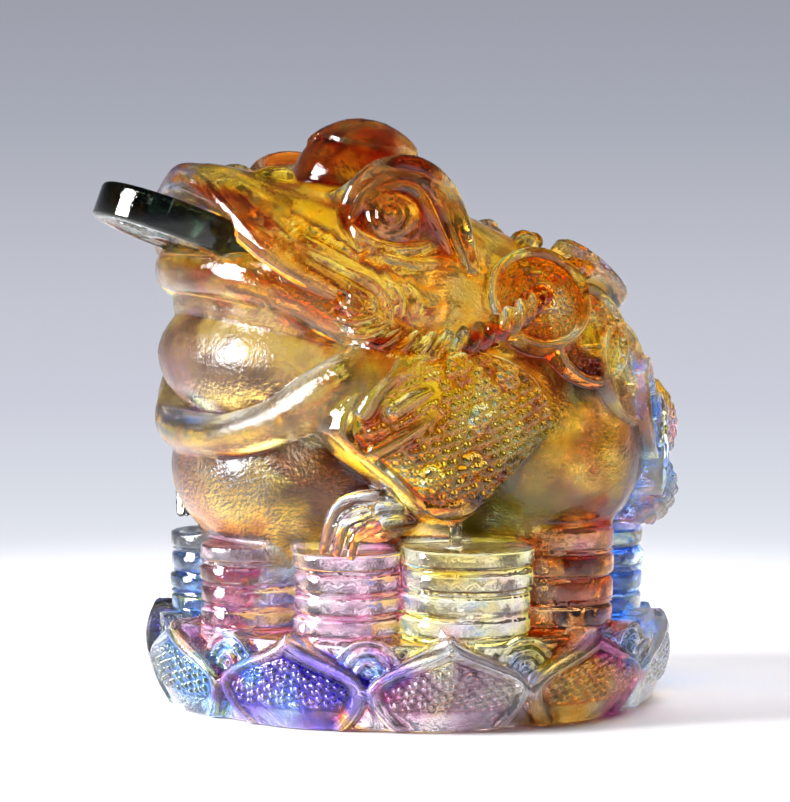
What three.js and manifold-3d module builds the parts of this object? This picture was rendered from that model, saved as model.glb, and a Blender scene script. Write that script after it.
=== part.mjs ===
// A money toad of cast coloured glass, with a coin in its mouth, on ten stacks of coins and a lotus base.
// Lengths are in millimetres and +Z is up. The toad faces -Y, and its left side is at +X.
// The origin is the centre of the base's underside.
import * as THREE from 'three';
import { mergeVertices } from 'three/addons/utils/BufferGeometryUtils.js';
import Module from 'manifold-3d';

const wasm = await Module();
wasm.setup();

// The lotus base.
const baseFootRadius = 41;
const baseBulge = 3.6;
const baseHeight = 14;
const petalCount = 10;
const petalTurn = -15.7;
const petalTip = 2;
const petalWidth = 27.5;
const petalThickness = 5;
const petalBorder = 2.2;
const petalSink = 0.9;
const sepalTip = 1;
const sepalWidth = 11;
const petalHeight = baseHeight + petalTip;

// The stacks of coins on the base.
const stackCount = 10;
const stackTurn = -7;
const stackRadius = 8.8;
const footStackRadius = 10.8;
const stackLedge = 0.7;
const stackHeight = 14.2;
const coinThickness = 3.6;
const coinEdge = 0.7;
const stackRise = 2.7;
const stackTallest = 29;
const stackArc = 112;
const stackRing = baseFootRadius - stackRadius - stackLedge;

// The coin in the mouth.
const mouthCoinRadius = 13.75;
const mouthCoinThickness = 6;
const mouthCoinPitch = 21.7;
const mouthCoinHole = 5;
const mouthCoinReach = 42.2;
const mouthCoinFit = 0.35;
const mouthSide = 5.2;
const mouthGap = 1.6;
const mouthLift = 0.7;

// The toad, a free form whose places are laid out between its seat on the stacks and its crown, and then
// scaled to its own height.
const toadHeight = 69.8;
const layout = { seat: 28.2, crown: 98, axis: -2, bodyFloor: 25, bodyTop: 75, coin: 80.6 };
const unit = toadHeight / (layout.crown - layout.seat);
const seat = baseHeight + stackHeight;
const bodyRows = 16;
const bodyColumns = 28;
const blend = 24;

const radians = THREE.MathUtils.degToRad;
const up = new THREE.Vector3(0, 0, 1);

// A place on the toad, laid out at its own height over the floor and scaled about the stacks' tops.
function at(x, y, z) {
  return new THREE.Vector3(x * unit, y * unit, seat + (z - layout.seat) * unit);
}

// A solid from a closed geometry whose faces point outwards.
function solid(geometry) {
  const bare = geometry.index ? geometry.clone() : geometry;
  bare.deleteAttribute('normal');
  bare.deleteAttribute('uv');
  const merged = mergeVertices(bare, 1e-4);
  return new wasm.Manifold(new wasm.Mesh({
    numProp: 3,
    vertProperties: new Float32Array(merged.attributes.position.array),
    triVerts: new Uint32Array(merged.index.array),
  }));
}

// The mesh of a finished solid.
function meshOf(name, body, material) {
  const { vertProperties, triVerts } = body.getMesh();
  const geometry = new THREE.BufferGeometry();
  geometry.setAttribute('position', new THREE.BufferAttribute(vertProperties, 3));
  geometry.setIndex(new THREE.BufferAttribute(triVerts, 1));
  geometry.computeVertexNormals();
  const mesh = new THREE.Mesh(geometry, material);
  mesh.name = name;
  return mesh;
}

// A closed skin over rings of as many points each, with a point that closes it at either end.
function skin(rings, first, last) {
  const columns = rings[0].length;
  const points = [first, ...rings.flat(), last];
  const end = points.length - 1;
  const faces = [];
  for (let column = 0; column < columns; column += 1) {
    const next = (column + 1) % columns;
    faces.push([0, 1 + next, 1 + column]);
    const top = 1 + (rings.length - 1) * columns;
    faces.push([end, top + column, top + next]);
    for (let ring = 0; ring < rings.length - 1; ring += 1) {
      const low = 1 + ring * columns;
      const high = low + columns;
      faces.push([low + column, low + next, high + next]);
      faces.push([low + column, high + next, high + column]);
    }
  }
  const volume = faces.reduce((sum, [a, b, c]) => sum + points[a].dot(points[b].clone().cross(points[c])), 0);
  const outward = volume > 0 ? faces : faces.map(([a, b, c]) => [a, c, b]);
  const geometry = new THREE.BufferGeometry().setFromPoints(points);
  geometry.setIndex(outward.flat());
  return solid(geometry);
}

// An ellipsoid with its radii and its pitch about X.
function ellipsoid(centre, radii, segments, pitch = 0) {
  const geometry = new THREE.SphereGeometry(1, segments, Math.round(segments * 0.6));
  geometry.rotateX(Math.PI / 2);
  geometry.scale(...radii);
  geometry.rotateX(radians(pitch));
  geometry.translate(centre.x, centre.y, centre.z);
  return solid(geometry);
}

// An ellipsoid of the toad, its radii laid out as its places are.
function ball(centre, radii, segments, pitch = 0) {
  return ellipsoid(centre, radii.map((radius) => radius * unit), segments, pitch);
}

// A roll along a smooth curve through the places, its radius swelling from the ends to the middle.
function roll(places, radius, { steps = 12, sides = 8, ends = 0.5, flat = 1 } = {}) {
  const curve = new THREE.CatmullRomCurve3(places);
  const rings = [];
  for (let step = 0; step <= steps; step += 1) {
    const share = step / steps;
    const centre = curve.getPoint(share);
    const along = curve.getTangent(share);
    const across = along.clone().cross(up).normalize();
    const rise = across.clone().cross(along).normalize();
    const size = radius * unit * (ends + (1 - ends) * Math.sin(Math.PI * share) ** 0.6);
    rings.push(Array.from({ length: sides }, (_, side) => {
      const angle = 2 * Math.PI * side / sides;
      return centre.clone()
        .addScaledVector(across, size * Math.cos(angle))
        .addScaledVector(rise, size * flat * Math.sin(angle));
    }));
  }
  const first = curve.getPoint(0).addScaledVector(curve.getTangent(0), -radius * unit * ends * 0.7);
  const last = curve.getPoint(1).addScaledVector(curve.getTangent(1), radius * unit * ends * 0.7);
  return skin(rings, first, last);
}

// The same form on both sides of the toad.
function bothSides(make) {
  return make(1).add(make(-1));
}

function join(solids) {
  return solids.reduce((sum, next) => sum.add(next));
}

// A point of the base, from its radius, the angle round the axis and its height.
function round(radius, angle, height) {
  return new THREE.Vector3(radius * Math.cos(angle), radius * Math.sin(angle), height);
}

// The core of the base, a low drum that the petals stand against.
function baseCore() {
  const profile = [
    [0, 0], [baseFootRadius - 1, 0], [baseFootRadius, 1], [baseFootRadius, baseHeight * 0.6],
    [baseFootRadius - 2, baseHeight], [0, baseHeight],
  ];
  const geometry = new THREE.LatheGeometry(profile.map(([x, y]) => new THREE.Vector2(x, y)), 30);
  geometry.rotateX(Math.PI / 2);
  return solid(geometry);
}

// The half width of a petal at a share of its height, full low down and drawn to a point in an ogee.
function petalShape(share) {
  const widest = 0.42;
  if (share < widest) {
    return 0.7 + 0.3 * Math.sin(Math.PI / 2 * share / widest);
  }
  return (0.5 + 0.5 * Math.cos(Math.PI * (share - widest) / (1 - widest))) ** 0.75;
}

// How far a petal stands out at a share of its height.
function petalRadius(share) {
  return baseFootRadius + baseBulge * Math.sin(Math.PI * Math.min(share / 1.15, 1));
}

// One petal: a bowed plate with a raised border round a sunk field.
function petal(angle) {
  const heights = [0, 0.22, 0.45, 0.67, 0.86];
  const rings = heights.map((share) => {
    const half = petalWidth / 2 * petalShape(share);
    const border = Math.min(petalBorder / half, 0.7);
    const across = [-1, -1 + border * 0.4, -1 + border, 0, 1 - border, 1 - border * 0.4, 1];
    const sunk = share === 0 || share > 0.85 ? 0 : petalSink;
    const front = across.map((place, column) => {
      const edge = column === 0 || column === 6 ? 0.7 : 0;
      const field = column >= 2 && column <= 4 ? sunk : 0;
      const bow = 1.5 * (1 - place * place);
      const radius = petalRadius(share) + bow - edge - field;
      return round(radius, angle + place * half / petalRadius(share), share * petalHeight);
    });
    const back = [0.8, -0.8].map((place) => {
      const radius = petalRadius(share) - petalThickness;
      return round(radius, angle + place * half / petalRadius(share), share * petalHeight);
    });
    return [...front, ...back];
  });
  const foot = round(baseFootRadius - petalThickness / 2, angle, 0);
  const tip = round(petalRadius(1), angle, petalHeight);
  return skin(rings, foot, tip);
}

// A small sepal in the gap between two petals: a round plate with a ridge inside its edge.
function sepal(angle) {
  const half = sepalWidth / 2;
  const profile = [[0, -3], [half, -3], [half, 0], [0, 2]];
  const geometry = new THREE.LatheGeometry(profile.map(([x, y]) => new THREE.Vector2(x, y)), 8);
  geometry.rotateZ(-Math.PI / 2);
  geometry.translate(baseFootRadius - 0.6, 0, baseHeight + sepalTip - half);
  geometry.rotateZ(angle);
  return solid(geometry);
}

// How high a stack stands: the one behind the left front foot is the tallest.
function stackTop(angle) {
  return baseHeight + stackHeight + stackRise * Math.max(0, Math.cos(angle - radians(stackTallest))) ** 6;
}

// The stacks in one skin: at each level the outer arcs of all the discs, with deep gaps between them.
function stacks() {
  const coins = Math.round(stackHeight / coinThickness);
  const arcPoints = 7;
  const levels = [[-2 / stackHeight, coinEdge]];
  for (let coin = 0; coin < coins; coin += 1) {
    levels.push([(coin + 0.5) / coins, 0], [(coin + 1) / coins, coinEdge]);
  }
  const discs = (share, edge) => Array.from({ length: stackCount * arcPoints }, (_, column) => {
    const index = Math.floor(column / arcPoints);
    const angle = radians(stackTurn) + 2 * Math.PI * index / stackCount;
    const radius = index % (stackCount / 2) === 0 ? footStackRadius : stackRadius;
    const turn = angle + radians(stackArc) * (2 * (column % arcPoints) / (arcPoints - 1) - 1);
    const height = baseHeight + (stackTop(angle) - baseHeight) * share;
    return round(stackRing, angle, height).add(round(radius - edge, turn, 0));
  });
  const rings = levels.map(([share, edge]) => discs(share, edge));
  return skin(rings, round(0, 0, baseHeight - 2), round(0, 0, baseHeight + stackHeight));
}

function base() {
  const pieces = [baseCore()];
  for (let index = 0; index < petalCount; index += 1) {
    const angle = radians(petalTurn) + 2 * Math.PI * index / petalCount;
    pieces.push(petal(angle));
    pieces.push(sepal(angle + Math.PI / petalCount));
  }
  pieces.push(stacks());
  return join(pieces);
}

// The rounded masses of the body: the belly, the hunched back, the thighs, the jaw and the throat's sac.
const masses = [
  { centre: [0, -7.5, 40], radii: [31, 33.5, 20] },
  { centre: [0, 7, 48], radii: [35, 37, 28] },
  { centre: [19, 13, 42], radii: [17.5, 20, 16.5] },
  { centre: [-19, 13, 42], radii: [17.5, 20, 16.5] },
  { centre: [0, -16, 67], radii: [32.5, 23.5, 10.5] },
  { centre: [0, -25.2, 58.6], radii: [26.5, 17.4, 12.2] },
];

// How far a level line from the body's axis runs before it leaves a mass, or 0 where it misses it.
function leaving({ centre, radii }, angle, height) {
  const share = (height - centre[2]) / radii[2];
  const level = 1 - share * share;
  if (level <= 0) {
    return 0;
  }
  const [dx, dy] = [Math.cos(angle) / radii[0], Math.sin(angle) / radii[1]];
  const [px, py] = [-centre[0] / radii[0], (layout.axis - centre[1]) / radii[1]];
  const a = dx * dx + dy * dy;
  const b = dx * px + dy * py;
  const inside = b * b - a * (px * px + py * py - level);
  return inside <= 0 ? 0 : Math.max(0, (Math.sqrt(inside) - b) / a);
}

// The body in one skin: rings round an upright axis, each point on the outermost mass, softly blended.
function body() {
  const rings = [];
  for (let row = 0; row < bodyRows; row += 1) {
    const height = layout.bodyFloor + (layout.bodyTop - layout.bodyFloor) * row / (bodyRows - 1);
    rings.push(Array.from({ length: bodyColumns }, (_, column) => {
      const angle = 2 * Math.PI * column / bodyColumns;
      const reaches = masses.map((mass) => leaving(mass, angle, height));
      const reach = Math.max(2, reaches.reduce((sum, next) => sum + next ** blend, 0) ** (1 / blend));
      return at(reach * Math.cos(angle), layout.axis + reach * Math.sin(angle), height);
    }));
  }
  return skin(rings, at(0, layout.axis, layout.bodyFloor), at(0, layout.axis, layout.bodyTop));
}

// The head: sections across it, from the lip back to the nape, each an arch over a flat floor.
function head() {
  const sections = [
    [-41.4, 4.5, 89.6, 86], [-39.8, 9, 90.6, 84.2], [-37.6, 15, 91, 81.3], [-35, 20.5, 90.8, 77.5],
    [-31.5, 25.5, 90, 73.5], [-26.5, 29.8, 88.8, 70], [-20, 31.5, 88, 67], [-10, 32, 87.5, 62],
    [2, 32, 84.5, 58], [14, 29, 79.5, 56], [24, 22, 74, 55],
  ];
  const sides = 10;
  const rings = sections.map(([y, half, top, low]) => Array.from({ length: sides + 1 }, (_, column) => {
    const angle = Math.PI * column / sides;
    const across = Math.sign(Math.cos(angle)) * Math.abs(Math.cos(angle)) ** 0.85;
    const rise = Math.sin(angle) ** 0.85;
    return at(half * across, y, low + (top - low) * rise);
  }));
  return skin(rings, at(0, -42.6, 88), at(0, 30, 62));
}

// The places of one side of the toad, placed as they are listed.
function onSide(side, places) {
  return places.map(([x, y, z]) => at(side * x, y, z));
}

// A line across the toad, given from its left end to its middle and mirrored.
function across(places) {
  return [...onSide(1, places), ...onSide(-1, places.slice(0, -1).reverse())];
}

// The broad lower lip, which runs on below the cheeks.
function lowerLip() {
  const lip = [
    [34, -10, 60], [32.5, -18, 62.5], [28.5, -25.5, 67], [23, -31, 70.5], [13.5, -37, 73], [0, -40, 73.8],
  ];
  return roll(across(lip), 3.4, { steps: 14, sides: 6, ends: 0.8, flat: 1.25 });
}

// The fold under the throat, which rises to the shoulders at both sides.
function collar() {
  const fold = [
    [32.5, -19, 58], [31.5, -23, 57], [27.8, -28, 53.8], [21.3, -33.2, 49.6],
    [11.5, -37.4, 46.8], [0, -39, 46.2],
  ];
  return roll(across(fold), 4, { steps: 14, sides: 5, ends: 1 });
}

// The upper lip, an arch over the coin.
function upperLip() {
  const lip = [
    [32, -22, 68.8], [28, -29.8, 73.5], [24.3, -33.6, 76.7], [19, -36.4, 80.3],
    [13, -37.9, 83.9], [7, -38.5, 86.6], [0, -39.8, 87.8],
  ];
  return roll(across(lip), 3, { steps: 16, sides: 5, ends: 0.6 });
}

// An eye with its two brow ridges and the fold of its lower lid.
function eye(side) {
  const ridge = (places, radius) => roll(onSide(side, places), radius, { steps: 6, sides: 5, ends: 0.6 });
  return join([
    ball(at(side * 19.5, -11.8, 80), [8.6, 12, 10.6], 8),
    ball(at(side * 25, -14.6, 81.9), [4.9, 4.9, 4.9], 8),
    ridge([[21, -21.4, 81.8], [22.5, -19, 87.6], [23.5, -11.9, 91], [24.7, -4.8, 86.6], [27.2, -2, 77.5],
      [28.6, -1, 73.8]], 1.9),
    ridge([[23.5, -20.9, 82.4], [25.4, -18.8, 86.6], [26, -12.8, 89.2], [27.4, -7, 85],
      [29.2, -3.8, 77.1]], 1.4),
    ridge([[24.5, -21.6, 81.6], [28.2, -17, 77.6], [29.6, -10, 78]], 1.2),
  ]);
}

// Points on an arc round a place on the X axis, without its last one.
function arc(centre, radius, from, to, steps = 6) {
  return Array.from({ length: steps }, (_, step) => {
    const angle = from + (to - from) * step / steps;
    return new THREE.Vector2(centre + radius * Math.cos(angle), radius * Math.sin(angle));
  });
}

// The ball on the crown, with a raised comma of two arcs and a half circle on its top.
function crown() {
  const radius = 11.6;
  const raised = 0.8;
  const reach = radius * unit;
  const centre = at(0, -9.1, 86);
  const comma = new THREE.Shape([
    ...arc(0, 1.3 * reach, 0, Math.PI),
    new THREE.Vector2(-1.3 * reach, 0),
    ...arc(-reach / 2, reach / 2, Math.PI, 2 * Math.PI),
    ...arc(reach / 2, reach / 2, Math.PI, 0),
    new THREE.Vector2(reach, 0),
  ]);
  const prism = new THREE.ExtrudeGeometry(comma, { depth: 2 * reach, bevelEnabled: false });
  prism.rotateZ(Math.PI / 2);
  prism.rotateX(radians(-26));
  prism.translate(centre.x, centre.y, centre.z);
  const cap = ball(centre, [radius + raised, radius + raised, radius + raised], 14);
  return ball(centre, [radius, radius, radius], 14).add(cap.intersect(solid(prism)));
}

// A nostril, a low knob on the snout.
function nostril(side) {
  return ball(at(side * 9, -29, 88), [3, 4.5, 2.6], 8, 12);
}

// A front leg: a pear-shaped pad with a smooth band round it, over a heel and a toed foot on the stacks.
function frontLeg(side) {
  const toes = [-26.5, -22.5, -18.5].map((y) => {
    const places = onSide(side, [[30.5, y + 4, 36.5], [34, y, 35.5], [35, y - 0.8, 30]]);
    return roll(places, 1.9, { steps: 3, sides: 4, ends: 0.8 });
  });
  return join([
    legPad(side),
    ball(at(side * 33, -9, 36), [5, 6, 3], 8),
    ball(at(side * 29, -21, 34.5), [6, 7, 4.5], 8),
    ...toes,
    ...warts(side),
  ]);
}

// The pad: rings round its middle, narrower below, domed outwards, with the band standing up near its edge.
function legPad(side) {
  const columns = 16;
  const sections = [[0.5, 38.6], [0.82, 36], [0.9, 37], [0.98, 36.8], [1.03, 34], [0.9, 23]];
  const rings = sections.map(([share, x]) => Array.from({ length: columns }, (_, column) => {
    const angle = 2 * Math.PI * column / columns;
    const lower = Math.max(0, -Math.sin(angle));
    const y = -9.5 + 19.5 * share * Math.cos(angle) * (1 - 0.45 * lower);
    const z = 48.5 + (13 + 2 * lower) * share * Math.sin(angle);
    return at(side * (x - 0.004 * (y + 9.5) ** 2), y, z);
  }));
  return skin(rings, at(side * 39.4, -9.5, 48.5), at(side * 22, -9.5, 48.5));
}

// The larger warts on a front leg.
function warts(side) {
  const places = [
    [38, -8.9, 58.8], [37.8, -0.1, 56.8], [39, -5.6, 50.3], [37.6, -5.9, 42.8], [36.8, -13, 41.2],
  ];
  return onSide(side, places).map((place) => ball(place, [2.4, 1.9, 1.9], 5));
}

// The rope from a corner of the mouth to the first coin of the string.
function rope(side) {
  const places = [
    [32, -24.5, 69], [33.5, -24.5, 66], [34.5, -19.5, 63], [35, -12, 61.8], [35, -4, 63], [34.5, 3.5, 66.3],
    [32.5, 9.5, 69.6],
  ];
  return roll(onSide(side, places), 2, { steps: 9, sides: 5, ends: 0.7 });
}

// A disc with a raised rim that lies against the back and faces outwards.
function backCoin(centre, facing, radius = 9) {
  const rim = 1.4;
  const profile = [[0, -4.5], [radius - 1, -4.5], [radius, 1.3], [radius - rim, 1.3], [0, 0.3]];
  const scaled = profile.map(([x, y]) => new THREE.Vector2(x * unit, y * unit));
  const geometry = new THREE.LatheGeometry(scaled, 10);
  const upright = new THREE.Vector3(0, 1, 0);
  geometry.applyQuaternion(new THREE.Quaternion().setFromUnitVectors(upright, facing.normalize()));
  geometry.translate(centre.x, centre.y, centre.z);
  return solid(geometry);
}

// The string of coins from a shoulder down to the tail, each lapping the next.
function coinString(side) {
  const coins = [
    { centre: [31, 9.5, 69], facing: [0.9, -0.05, 0.42] },
    { centre: [30.5, 18.5, 63], facing: [0.85, 0.3, 0.3] },
    { centre: [27.5, 27, 56], facing: [0.7, 0.6, 0.2] },
    { centre: [21.5, 35, 49.5], facing: [0.5, 0.8, 0.1] },
    { centre: [14, 40.5, 42.5], facing: [0.35, 0.9, 0] },
  ];
  return join(coins.map(({ centre: [x, y, z], facing: [toX, toY, toZ] }) => (
    backCoin(at(side * x, y, z), new THREE.Vector3(side * toX, toY, toZ))
  )));
}

// The third leg, folded up under the tail.
function tailLeg() {
  return join([
    ball(at(0, 38, 34.5), [15, 11.5, 8.5], 12),
    ball(at(0, 43, 45), [12, 7, 9], 10),
  ]);
}

function casting() {
  return join([
    base(), body(), head(), lowerLip(), collar(), upperLip(), crown(), tailLeg(),
    bothSides(eye), bothSides(nostril), bothSides(frontLeg), bothSides(rope), bothSides(coinString),
    backCoin(at(0, 35, 71.4), new THREE.Vector3(0, 0.7, 0.71), 8), ball(at(0, 32, 68), [9, 6, 5], 8),
  ]);
}

// A disc along its own Z axis, centred at the coin's place and pitched as the coin is.
function mouthDisc(radius, thickness) {
  const [half, bevel] = [thickness / 2, 0.8];
  const profile = [
    [0, -half], [radius - bevel, -half], [radius, bevel - half],
    [radius, half - bevel], [radius - bevel, half], [0, half],
  ];
  const geometry = new THREE.LatheGeometry(profile.map(([x, y]) => new THREE.Vector2(x, y)), 28);
  geometry.rotateX(Math.PI / 2);
  return inMouth(geometry);
}

// A geometry round the origin, pitched and carried to the coin's place.
function inMouth(geometry) {
  geometry.rotateX(radians(-mouthCoinPitch));
  geometry.translate(0, -mouthCoinReach, at(0, 0, layout.coin).z);
  return solid(geometry);
}

function mouthCoin() {
  const hole = new THREE.BoxGeometry(mouthCoinHole, mouthCoinHole, 2 * mouthCoinThickness);
  return mouthDisc(mouthCoinRadius, mouthCoinThickness).subtract(inMouth(hole));
}

// The open mouth: the coin's own room and a lens-shaped opening round it.
function mouthRoom() {
  const room = mouthDisc(mouthCoinRadius + mouthCoinFit, mouthCoinThickness + 2 * mouthCoinFit);
  const lens = [mouthCoinRadius + mouthSide, mouthCoinRadius, mouthCoinThickness / 2 + mouthGap];
  const centre = new THREE.Vector3(0, -mouthCoinReach, at(0, 0, layout.coin).z + mouthLift);
  return room.add(ellipsoid(centre, lens, 14, -mouthCoinPitch));
}

const amberGlass = new THREE.MeshStandardMaterial({ color: 0xd98a2b, roughness: 0.15, metalness: 0 });
const clearGlass = new THREE.MeshStandardMaterial({ color: 0xcfd8d4, roughness: 0.08, metalness: 0 });

const toad = new THREE.Group();
toad.add(meshOf('toad_casting', casting().subtract(mouthRoom()), amberGlass));
toad.add(meshOf('mouth_coin', mouthCoin(), clearGlass));

export default toad;
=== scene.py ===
import math

import bpy
import numpy as np
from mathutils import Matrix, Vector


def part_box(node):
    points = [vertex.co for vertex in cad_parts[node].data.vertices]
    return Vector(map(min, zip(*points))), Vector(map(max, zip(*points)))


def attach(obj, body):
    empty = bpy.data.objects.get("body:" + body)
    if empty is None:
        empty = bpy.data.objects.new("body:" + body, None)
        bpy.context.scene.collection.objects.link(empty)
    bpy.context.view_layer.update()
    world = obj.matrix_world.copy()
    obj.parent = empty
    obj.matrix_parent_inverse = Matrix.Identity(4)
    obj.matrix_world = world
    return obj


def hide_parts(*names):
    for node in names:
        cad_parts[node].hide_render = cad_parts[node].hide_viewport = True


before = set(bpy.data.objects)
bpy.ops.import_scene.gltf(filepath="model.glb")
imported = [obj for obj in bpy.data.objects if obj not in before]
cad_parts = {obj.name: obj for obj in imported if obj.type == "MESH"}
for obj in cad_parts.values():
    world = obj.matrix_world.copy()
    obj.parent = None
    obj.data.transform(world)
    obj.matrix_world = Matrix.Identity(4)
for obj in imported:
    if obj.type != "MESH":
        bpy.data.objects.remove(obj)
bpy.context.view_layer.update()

import openvdb

# The studio: a round of pale paper before a soft grey background that is brightest low down. A tall soft
# light stands at the toad's front, a weak broad one hangs overhead, and a third lights the glass from
# behind. The camera looks at the toad's left side and its face.
camera_turn = math.radians(65.0)
camera_distance = 0.650
camera_height = 0.102
camera_pitch = math.radians(4.55)
camera_aside = math.radians(0.18)
near = np.array([math.sin(camera_turn), -math.cos(camera_turn), 0.0])
right = np.array([math.cos(camera_turn), math.sin(camera_turn), 0.0])

camera_data = bpy.data.cameras.new("camera")
camera_data.lens = 171.6
camera_data.sensor_width = 36.0


def placed(name, data):
    """A new object of a name in the scene."""
    made = bpy.data.objects.new(name, data)
    bpy.context.scene.collection.objects.link(made)
    return made


camera = placed("camera", camera_data)
camera.location = near * camera_distance + np.array([0.0, 0.0, camera_height])
camera.rotation_euler = (math.pi / 2 - camera_pitch, 0.0, camera_turn + camera_aside)
bpy.context.scene.camera = camera
figure_middle = np.array([0.0, 0.0, 0.05])


def soft_light(name, place, size, power):
    """A rectangular lamp at a place (right, near, up) in metres, turned to face the figure's middle."""
    data = bpy.data.lights.new(name, "AREA")
    data.shape = "RECTANGLE"
    data.size, data.size_y = size
    data.energy = power
    lamp = placed(name, data)
    spot = right * place[0] + near * place[1] + np.array([0.0, 0.0, place[2]])
    toward = figure_middle - spot
    lamp.location = spot
    lamp.rotation_euler = (math.atan2(math.hypot(toward[0], toward[1]), -toward[2]), 0.0,
                           math.atan2(-toward[0], toward[1]))
    return lamp


soft_light("window_light", (-0.78, 0.16, 0.30), (0.30, 0.52), 25.0)
overhead = soft_light("overhead_light", (0.1, -0.1, 1.2), (0.9, 0.9), 9.0)
overhead.visible_glossy = False
overhead.visible_transmission = False
back_light = soft_light("back_light", (0.35, -0.75, 0.50), (0.7, 0.7), 7.0)
back_light.visible_camera = False
back_light.visible_glossy = False


def wire(tree, source, target):
    """Joins an output socket to an input socket."""
    tree.links.new(source, target)


def node(tree, kind, **settings):
    """A shader node of a kind, with its settings."""
    made = tree.nodes.new(kind)
    for name, value in settings.items():
        setattr(made, name, value)
    return made


def ramp(tree, factor, stops):
    """A colour ramp over the stops (place, colour), fed by a socket."""
    made = node(tree, "ShaderNodeValToRGB")
    elements = made.color_ramp.elements
    while len(elements) < len(stops):
        elements.new(0.5)
    for element, (place, colour) in zip(elements, stops):
        element.position = place
        element.color = (*colour, 1.0)
    wire(tree, factor, made.inputs["Fac"])
    return made.outputs["Color"]


def ranged(tree, value, low, high, least=0.0, most=1.0, **settings):
    """A socket's value carried from low and high to least and most, and held there outside."""
    made = node(tree, "ShaderNodeMapRange", **settings)
    for name, amount in (("From Min", low), ("From Max", high), ("To Min", least), ("To Max", most)):
        made.inputs[name].default_value = amount
    wire(tree, value, made.inputs["Value"])
    return made.outputs["Result"]


background = [
    (-0.19, (0.92, 0.915, 0.95)), (-0.141, (0.90, 0.90, 0.94)), (-0.121, (0.83, 0.85, 0.92)),
    (-0.105, (0.71, 0.74, 0.81)), (-0.079, (0.604, 0.624, 0.708)), (-0.053, (0.552, 0.565, 0.638)),
    (-0.027, (0.468, 0.485, 0.552)), (-0.006, (0.392, 0.413, 0.479)), (0.024, (0.342, 0.352, 0.413)),
    (0.09, (0.20, 0.21, 0.25)), (0.20, (0.08, 0.085, 0.10)), (0.31, (0.03, 0.032, 0.04)),
]
background_low, background_high = background[0][0], background[-1][0]
world = bpy.data.worlds.new("studio")
world.use_nodes = True
sky = world.node_tree
direction = node(sky, "ShaderNodeSeparateXYZ")
wire(sky, node(sky, "ShaderNodeTexCoord").outputs["Generated"], direction.inputs["Vector"])
height = ranged(sky, direction.outputs["Z"], background_low, background_high)
stops = [((place - background_low) / (background_high - background_low), colour)
         for place, colour in background]
wire(sky, ramp(sky, height, stops), sky.nodes["Background"].inputs["Color"])
bpy.context.scene.world = world
bpy.context.scene.view_settings.view_transform = "Standard"

paper_radius = 0.62
paper_points = 96
paper_gap = 0.0001
paper_whole_within = 0.07
paper_gone_beyond = 0.26
turn = np.linspace(0, 2 * math.pi, paper_points, endpoint=False)
paper_edge = paper_radius * np.stack([np.cos(turn), np.sin(turn), 0 * turn], axis=1)
floor_mesh = bpy.data.meshes.new("studio_floor")
floor_mesh.from_pydata(paper_edge.tolist(), [], [list(range(paper_points))])
floor = placed("studio_floor", floor_mesh)
floor.location = (0.0, 0.0, -paper_gap)
paper = bpy.data.materials.new("studio_paper")
paper.use_nodes = True
tree = paper.node_tree
paper_shader = tree.nodes["Principled BSDF"]
paper_shader.inputs["Base Color"].default_value = (0.82, 0.815, 0.845, 1.0)
paper_shader.inputs["Roughness"].default_value = 0.9
paper_shader.inputs["Specular IOR Level"].default_value = 0.0
reach = node(tree, "ShaderNodeVectorMath", operation="LENGTH")
wire(tree, node(tree, "ShaderNodeTexCoord").outputs["Object"], reach.inputs[0])
fade = ranged(tree, reach.outputs["Value"], paper_whole_within, paper_gone_beyond,
              interpolation_type="SMOOTHSTEP")
see_through = node(tree, "ShaderNodeBsdfTransparent")
blend = node(tree, "ShaderNodeMixShader")
wire(tree, fade, blend.inputs["Fac"])
wire(tree, paper_shader.outputs["BSDF"], blend.inputs[1])
wire(tree, see_through.outputs["BSDF"], blend.inputs[2])
wire(tree, blend.outputs["Shader"], tree.nodes["Material Output"].inputs["Surface"])
floor_mesh.materials.append(paper)

# The casting: the toad, its coins and the lotus base are one piece of coloured glass, cast in a mould taken
# from a carved wax. Its forms are worked out in millimetres, as distances on a regular lattice of points,
# and joined softly as wax is. Grains of coloured glass are laid in the mould form by form.
step = 0.4
lattice_margin = 3
no_wax = 8.0
casting_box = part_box("toad_casting")
lowest = np.floor(np.array(casting_box[0]) * 1000 / step - lattice_margin) * step
highest = np.ceil(np.array(casting_box[1]) * 1000 / step + lattice_margin) * step
axes = [np.arange(lo, hi + step / 2, step, dtype=np.float32) for lo, hi in zip(lowest, highest)]
wax = np.full([len(axis) for axis in axes], no_wax, dtype=np.float32)
grains_laid = []

deep_amber = (0.38, 0.038, 0.0015)
amber = (0.74, 0.22, 0.006)
honey = (0.90, 0.48, 0.018)
gold = (0.96, 0.70, 0.045)
pale_gold = (0.98, 0.87, 0.22)
olive = (0.42, 0.32, 0.010)
brown = (0.13, 0.026, 0.003)
red_brown = (0.22, 0.012, 0.003)
bottle_green = (0.02, 0.045, 0.018)
champagne = (0.84, 0.74, 0.46)
mauve = (0.48, 0.26, 0.38)
grey_brown = (0.22, 0.16, 0.12)
clear = (0.95, 0.96, 0.98)
ice_blue = (0.28, 0.52, 0.96)
sky_blue = (0.07, 0.26, 0.90)
violet = (0.07, 0.035, 0.42)
lilac = (0.36, 0.24, 0.82)
magenta = (0.36, 0.012, 0.16)
pink = (0.84, 0.34, 0.50)


def lay(colour, reach, *places, satin=0.0, both=True):
    """Lays a grain of a colour, of a reach and of how satin it is, at each place and its mirror image."""
    for x, y, z in places:
        grains_laid.append((x, y, z, reach, *colour, satin))
        if both and x:
            grains_laid.append((-x, y, z, reach, *colour, satin))


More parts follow.
